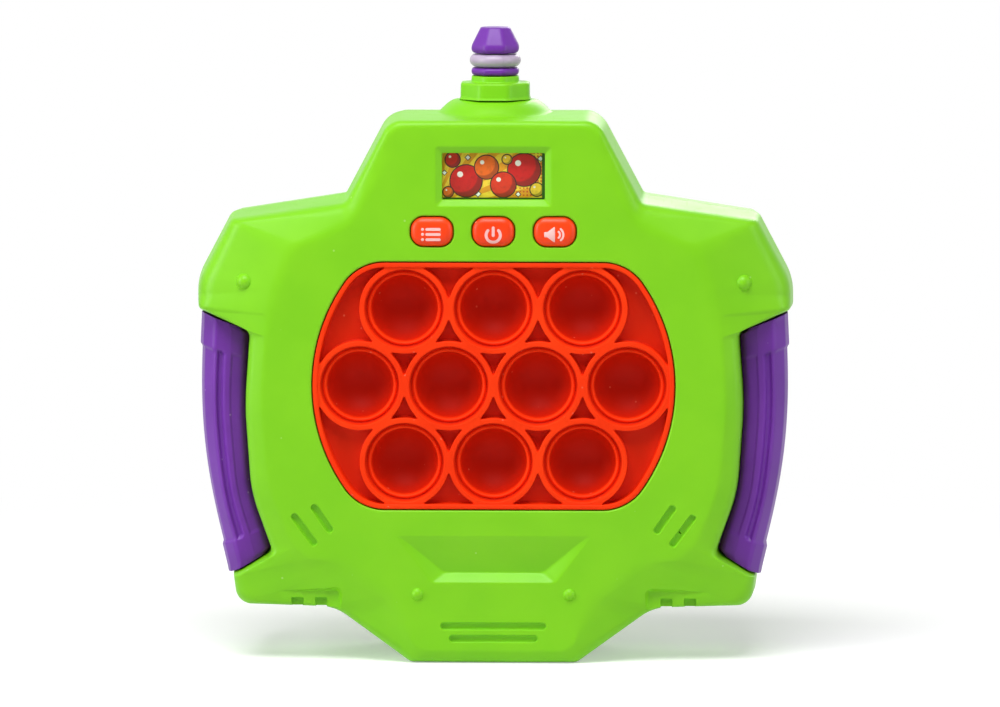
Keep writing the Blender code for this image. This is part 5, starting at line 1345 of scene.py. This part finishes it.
# where the painted shade in the silicone's recesses starts, where it is darkest, and its colour
# there
depths = {"red silicone": (-20.9, -18.5, (212, 36, 2)),
          "bowl silicone": (-18.9, -16.2, (202, 28, 2))}
sockets = {
    "green plastic": {"Specular IOR Level": 0.3}, "purple plastic": {"Specular IOR Level": 0.35},
    "red silicone": {"Specular IOR Level": 0.12}, "bowl silicone": {"Specular IOR Level": 0.12},
    "orange plastic": {"Specular IOR Level": 0.3},
    "milky plastic": {"Subsurface Weight": 0.35, "Subsurface Radius": (0.003, 0.003, 0.003),
                      "Subsurface Scale": 0.5},
}


def millimetres(tree, lift=0.0):
    # object coordinates across and up in millimetres, flattened, with the height counted from lift
    parts = addNode(tree, "SeparateXYZ", in0=place(tree))
    across = maths(tree, "MULTIPLY", parts.outputs[0], 1000.0)
    up = maths(tree, "MULTIPLY_ADD", parts.outputs[2], 1000.0, -lift)
    flat = addNode(tree, "CombineXYZ", in0=across, in1=up, in2=0.0).outputs[0]
    return flat, across, up


def away(tree, flat, x, z):
    # distance from a spot on the flattened coordinates
    return addNode(tree, "VectorMath", {"operation": "DISTANCE"}, in0=flat,
                   in1=(x, z, 0.0)).outputs["Value"]


def inCell(tree, flat, pitch):
    # distance from the middle of the square cell that a point lies in, counted in cells
    scaled = addNode(tree, "VectorMath", {"operation": "SCALE"}, in0=flat, Scale=1 / pitch)
    cell = addNode(tree, "VectorMath", {"operation": "FRACTION"}, in0=scaled.outputs[0])
    return away(tree, cell.outputs[0], 0.5, 0.5)


card = {
    # the last colour in the next line and the two ranges after it are painted shade of the green
    # window wall: a dark green band on the right and bottom edges, with where it starts and is full
    # across and up
    "amber": (232, 160, 26), "yellow": (250, 214, 60), "ink": (58, 26, 12), "dots": (206, 60, 24),
    "wallShade": (46, 92, 20), "wallShadeX": (12.95, 13.0), "wallShadeZ": (-5.85, -5.9),
    "sun": (-17.0, -9.5), "rays": 5.4, "rayEdge": (0.235, 0.265),
    # pitch of the dots, and their radius over the width: from, to, smallest, largest
    "dotPitch": 0.95, "dotSize": (-3.0, 14.0, 0.0, 0.36),
    # x, z, radius and colour of each printed bubble
    "bubbles": ((-11.0, 4.3, 1.9, (214, 40, 22)), (-7.4, -1.4, 4.2, (206, 28, 22)),
                (8.2, 1.6, 4.3, (206, 28, 22)), (-1.9, 2.3, 3.1, (240, 110, 26)),
                (2.6, -2.4, 3.3, (222, 56, 24)), (11.6, -3.7, 1.7, (250, 206, 50)),
                (-12.2, -4.4, 1.3, (240, 110, 26)), (3.6, 4.4, 1.2, (250, 206, 50))),
    # x, z and reach of each diamond
    "diamonds": ((-4.2, -4.9, 0.75), (12.6, 4.6, 0.7), (6.6, -5.0, 0.6), (-6.9, 4.9, 0.65),
                 (-13.2, 0.8, 0.6)),
}


def cardMaterial():
    # offset print: sun rays by angle about a corner, halftone dots that grow towards the other
    # side, round bubbles with an outline and a glint, and diamonds; a dark green band along the
    # right and bottom edges is painted shade of the window's green wall
    material, tree, shader = blankMaterial("printed card")
    flat, across, up = millimetres(tree, window["z"])
    fromSun = [maths(tree, "SUBTRACT", value, middle)
               for value, middle in zip((across, up), card["sun"])]
    angle = maths(tree, "ARCTAN2", *fromSun[::-1])
    wave = maths(tree, "PINGPONG", maths(tree, "MULTIPLY", angle, card["rays"]), 0.5)
    ink = mixed(tree, ranged(tree, wave, *card["rayEdge"]), card["amber"], card["yellow"])

    def painted(value, low, high, tint):
        # a colour laid over the print where the value has gone from low to high
        return mixed(tree, ranged(tree, value, low, high), ink, tint)

    size = ranged(tree, across, *card["dotSize"])
    dot = maths(tree, "LESS_THAN", inCell(tree, flat, card["dotPitch"]), size)
    ink = mixed(tree, maths(tree, "MULTIPLY", dot, 0.8), ink, card["dots"])
    for x, z, reach in card["diamonds"]:
        sides = [maths(tree, "ABSOLUTE", maths(tree, "SUBTRACT", value, middle))
                 for value, middle in ((across, x), (up, z))]
        span = maths(tree, "ADD", *sides)
        ink = painted(span, reach + 0.28, reach + 0.22, card["ink"])
        ink = painted(span, reach, reach - 0.06, (1, 1, 1, 1))
    for x, z, radius, tint in card["bubbles"]:
        distance = away(tree, flat, x, z)
        ink = painted(distance, radius + 0.34, radius + 0.28, card["ink"])
        ink = painted(distance, radius + 0.02, radius - 0.04, tint)
        toLight = away(tree, flat, x - radius * 0.3, z + radius * 0.3)
        shade = maths(tree, "MULTIPLY", ranged(tree, toLight, radius * 0.95, radius * 1.1),
                      ranged(tree, distance, radius, radius - 0.05))
        ink = mixed(tree, maths(tree, "MULTIPLY", shade, 0.55), ink, card["ink"])
        glint = away(tree, flat, x - radius * 0.38, z + radius * 0.42)
        ink = painted(glint, radius * 0.2, radius * 0.17, (1, 0.95, 0.85, 1))
    # painted shade of the window's green wall: a dark green band along the right and bottom edges
    edge = maths(tree, "MAXIMUM", ranged(tree, across, *card["wallShadeX"]),
                 ranged(tree, up, *card["wallShadeZ"]))
    ink = mixed(tree, edge, ink, card["wallShade"])
    mottle = noise(tree, place(tree), 900.0, 3.0)
    ink = mixed(tree, ranged(tree, mottle, 0.45, 0.8, 0.0, 0.22), ink, card["ink"])
    rough = maths(tree, "MULTIPLY_ADD", worn(tree, 0.3)[1], 0.1, 0.42)
    linkFinish(tree, shader, ink, rough, mottle, 0.3, 0.01)
    return material


steel = {"dark": (0.44, 0.44, 0.43, 1), "bright": (0.62, 0.61, 0.58, 1),
         "dull": (0.36, 0.35, 0.33, 1), "drawn": (1.0, 9.0, 1.0), "streaks": 700.0}


def steelMaterial():
    # nickel plate: drawn streaks, a few dull patches and hair scratches
    material, tree, shader = blankMaterial("plated steel")
    drawn = addNode(tree, "Mapping", Vector=place(tree), Scale=steel["drawn"])
    streak = noise(tree, drawn.outputs["Vector"], steel["streaks"], 3.0)
    scratch, smudge = worn(tree, 0.6)
    base = mixed(tree, ranged(tree, streak, 0.3, 0.7), steel["dark"], steel["bright"])
    base = mixed(tree, maths(tree, "MULTIPLY", smudge, 0.3), base, steel["dull"])
    shader.inputs["Metallic"].default_value = 1.0
    rough = maths(tree, "MULTIPLY_ADD", smudge, 0.14, 0.26)
    rough = maths(tree, "MULTIPLY_ADD", scratch, 0.2, rough)
    linkFinish(tree, shader, base, rough, streak, 0.4, 0.01)
    return material


board = {"mask": (20, 82, 44), "run": (36, 118, 58), "pad": (208, 190, 142), "cells": 260.0,
         "runs": 7.0, "runEdge": (0.2, 0.27), "pitch": 2.54, "padRadius": 0.26, "padsAbove": 0.56}


def boardMaterial():
    # circuit board: solder mask over raised copper runs from cell borders, with rows of bare pads
    material, tree, shader = blankMaterial("circuit board")
    cells = addNode(tree, "TexVoronoi", {"distance": "CHEBYCHEV"}, Vector=place(tree),
                    Scale=board["cells"], Randomness=0.75)
    runs = maths(tree, "MULTIPLY", cells.outputs["Distance"], board["runs"])
    copper = ranged(tree, maths(tree, "PINGPONG", runs, 0.5), *board["runEdge"])
    fromPad = inCell(tree, millimetres(tree)[0], board["pitch"])
    patches = noise(tree, place(tree), 55.0, 1.0)
    pads = maths(tree, "MULTIPLY", maths(tree, "LESS_THAN", fromPad, board["padRadius"]),
                 maths(tree, "GREATER_THAN", patches, board["padsAbove"]))
    base = mixed(tree, copper, board["mask"], board["run"])
    base = mixed(tree, pads, base, board["pad"])
    link(tree, pads, shader.inputs["Metallic"])
    rough = maths(tree, "MULTIPLY_ADD", worn(tree, 0.2)[1], 0.12, 0.3)
    linkFinish(tree, shader, base, rough, maths(tree, "ADD", copper, pads), 0.5, 0.04)
    return material


jacket = {
    "sleeve": (46, 50, 60), "scuff": (24, 24, 28),
    # each band: where it starts and is full, from the middle, and its colour
    "bands": ((15.95, 16.05, (196, 132, 40)), (20.55, 20.65, (60, 64, 74))),
    "bare": (24.15, 24.25, (188, 186, 180)),
    # thin line: its middle, half width, half width of its full colour, and colour
    "line": (14.6, 0.3, 0.24, (190, 192, 196)),
}


def jacketMaterial():
    # battery cell: a dark sleeve with plain bands round it and a bare metal end either way
    material, tree, shader = blankMaterial("battery jacket")
    far = maths(tree, "ABSOLUTE", millimetres(tree, back["bayZ"])[2])
    base = jacket["sleeve"]
    for start, full, tint in jacket["bands"]:
        base = mixed(tree, ranged(tree, far, start, full), base, tint)
    middle, half, core, tint = jacket["line"]
    fromLine = maths(tree, "ABSOLUTE", maths(tree, "SUBTRACT", far, middle))
    base = mixed(tree, ranged(tree, fromLine, half, core), base, tint)
    start, full, tint = jacket["bare"]
    bare = ranged(tree, far, start, full)
    base = mixed(tree, bare, base, tint)
    fine = noise(tree, place(tree), 1600.0, 2.0)
    base = mixed(tree, ranged(tree, fine, 0.4, 0.75, 0.0, 0.2), base, jacket["scuff"])
    link(tree, maths(tree, "MULTIPLY_ADD", bare, 0.4, 0.6), shader.inputs["Metallic"])
    rough = maths(tree, "MULTIPLY_ADD", worn(tree, 0.5)[1], 0.15, 0.3)
    linkFinish(tree, shader, base, rough, maths(tree, "SUBTRACT", fine, bare), 0.4, 0.02)
    return material


finishes = {name: mouldedMaterial(name, dict(zip(lookParts, values)))
            for name, values in looks.items()}
finishes.update({"printed card": cardMaterial(), "plated steel": steelMaterial(),
                 "circuit board": boardMaterial(), "battery jacket": jacketMaterial()})
greenPlastic, purplePlastic = finishes["green plastic"], finishes["purple plastic"]
print("finishes made")
front = caseFront(greenPlastic)
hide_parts("front_shell")
print("case front made")
rear = caseRear(greenPlastic)
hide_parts("rear_shell")
print("case rear made")
padPiece = bubblePad(finishes["red silicone"])
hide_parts("bubble_pad")
for number, centre in enumerate(bubbles):
    bubbleBowl(number + 1, centre, finishes["bowl silicone"])
print("pad and bubbles made")
places = [(index - 1) * buttons["pitch"] for index in range(3)]
for x, (name, node, body) in zip(places, buttons["order"]):
    pushButton(name, node, body, x, finishes["orange plastic"])
for x, (name, node, body), rings in zip(places, buttons["order"], iconRings()):
    icon(name.replace("Button", "Icon"), body, x, rings, finishes["icon ink"])
print("buttons made")
pictureCard(finishes["printed card"])
batteryDoor(greenPlastic)
for index, (x, z) in enumerate(back["screws"]):
    crossScrew(f"caseScrew{index + 1}", f"case_screw_{index + 1}", "case", x, z, screw["case"],
               finishes["plated steel"])
crossScrew("doorScrew", "door_screw", "battery_cover", 0, door["screwZ"], screw["door"],
           finishes["plated steel"])
print("card, door and screws made")
for name, node, key, finish in (("beaconCollar", "beacon_collar", "collar", "green plastic"),
                                ("beaconLowerRing", "beacon_lower_ring", "lower", "purple plastic"),
                                ("beaconLightRing", "beacon_light_ring", "light", "milky plastic"),
                                ("beaconCap", "beacon_cap", "cap", "purple plastic")):
    facetedPiece(name, node, beacon[key], finishes[finish])
print("beacon made")
sideGrip("rightGrip", "right_grip", 1, purplePlastic)
sideGrip("leftGrip", "left_grip", -1, purplePlastic)
print("grips made")

# CAD nodes that keep their mesh, by how their names start, and their finishes
kept = {"key_": "white plastic", "main_board": "circuit board", "speaker": "speaker plastic",
        "upper_contact": "plated steel", "lower_contact": "plated steel",
        **{f"battery_{number}": "battery jacket" for number in (1, 2, 3)}}
for start, finish in kept.items():
    for name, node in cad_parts.items():
        if name.startswith(start):
            for slot in node.material_slots:
                slot.material = finishes[finish]
print("kept nodes finished")


# Camera, floor and light

view = {"distance": 1.7, "azimuth": 1.41, "elevation": 6.5, "target": (0.00126, 0.0, 0.08195),
        "width": 0.2722, "sensor": 36}


studio = {
    "soft": 0.05, "floorGlow": 0.35, "target": (0, 0, 0.08),
    # place, size and power of each lamp
    "lights": {
        "top": ((-0.1, -0.42, 0.9), (0.7, 0.45), 8.6),
        "left": ((-1.0, -0.4, 0.4), (0.4, 0.8), 6.0),
        "right": ((1.0, -0.4, 0.35), (0.4, 0.8), 3.1),
        "rear": ((0.35, 1.2, 0.7), (0.6, 0.6), 5.0),
    },
}


def addCamera():
    # looks at the target from its distance; the lens shows the width that the photograph shows
    turn, lift = math.radians(view["azimuth"]), math.radians(view["elevation"])
    level = math.cos(lift)
    towards = Vector((math.sin(turn) * level, -math.cos(turn) * level, math.sin(lift)))
    data = bpy.data.cameras.new("camera")
    data.sensor_width = view["sensor"]
    data.lens = view["sensor"] * view["distance"] / view["width"]
    data.clip_start = 0.01
    camera = addObject("camera", data)
    camera.location = Vector(view["target"]) + towards * view["distance"]
    camera.rotation_euler = towards.to_track_quat("Z", "Y").to_euler()
    bpy.context.scene.camera = camera


def addLight(name, spot, size, power):
    # a rectangular lamp that faces the object
    data = bpy.data.lights.new(name, "AREA")
    data.shape = "RECTANGLE"
    data.size, data.size_y = size
    data.energy = power
    lamp = addObject(name, data)
    lamp.location = spot
    towards = Vector(spot) - Vector(studio["target"])
    lamp.rotation_euler = towards.to_track_quat("Z", "Y").to_euler()


def whiteRays(tree):
    # 1 for rays that should see the plain white backdrop
    path = addNode(tree, "LightPath")
    seen = maths(tree, "MAXIMUM", path.outputs["Is Camera Ray"], path.outputs["Is Glossy Ray"])
    return maths(tree, "MAXIMUM", seen, path.outputs["Is Transmission Ray"])


def addWorld():
    # a soft even light that the camera sees as plain white
    world = bpy.data.worlds.new("studio")
    bpy.context.scene.world = world
    world.use_nodes = True
    tree = world.node_tree
    tree.nodes.clear()
    soft, white = (addNode(tree, "Background", Color=(1, 1, 1, 1), Strength=strength).outputs[0]
                   for strength in (studio["soft"], 1.0))
    mix = addNode(tree, "MixShader", in0=whiteRays(tree), in1=soft, in2=white)
    link(tree, mix.outputs[0], addNode(tree, "OutputWorld").inputs[0])


floorPlate = {"corners": ((-6, -6), (6, -6), (6, 8), (-6, 8)), "z": -5e-5, "near": 0.10,
              "far": 0.34}


def addFloor():
    # a pale floor; away from the object its lit surface gives way to plain white for the camera,
    # and from below it isn't seen
    mesh = bpy.data.meshes.new("floor")
    corners = [(x, y, floorPlate["z"]) for x, y in floorPlate["corners"]]
    mesh.from_pydata(corners, [], [(0, 1, 2, 3)])
    floor = addObject("floor", mesh)
    material, tree, shader = blankMaterial("pale floor")
    constants = {"Base Color": (0.8, 0.8, 0.8, 1), "Roughness": 0.9, "Specular IOR Level": 0.1}
    for socket, value in constants.items():
        shader.inputs[socket].default_value = value
    distance = addNode(tree, "VectorMath", {"operation": "LENGTH"}, in0=place(tree))
    far = ranged(tree, distance.outputs["Value"], floorPlate["near"], floorPlate["far"])
    seen = whiteRays(tree)
    glow = addNode(tree, "Emission", Strength=maths(tree, "MULTIPLY", seen, studio["floorGlow"]))
    near = addNode(tree, "AddShader", in0=shader.outputs[0], in1=glow.outputs[0])
    white = addNode(tree, "Emission", Strength=1.0)
    mix = addNode(tree, "MixShader", in0=maths(tree, "MULTIPLY", seen, far), in1=near.outputs[0],
                  in2=white.outputs[0])
    below = addNode(tree, "NewGeometry").outputs["Backfacing"]
    clear = addNode(tree, "BsdfTransparent")
    sides = addNode(tree, "MixShader", in0=below, in1=mix.outputs[0], in2=clear.outputs[0])
    link(tree, sides.outputs[0], tree.nodes["Material Output"].inputs["Surface"])
    mesh.materials.append(material)


bpy.context.scene.view_settings.view_transform = "Standard"
addCamera()
addWorld()
addFloor()
for name, lamp in studio["lights"].items():
    addLight(name, *lamp)
print("camera, floor and light made")
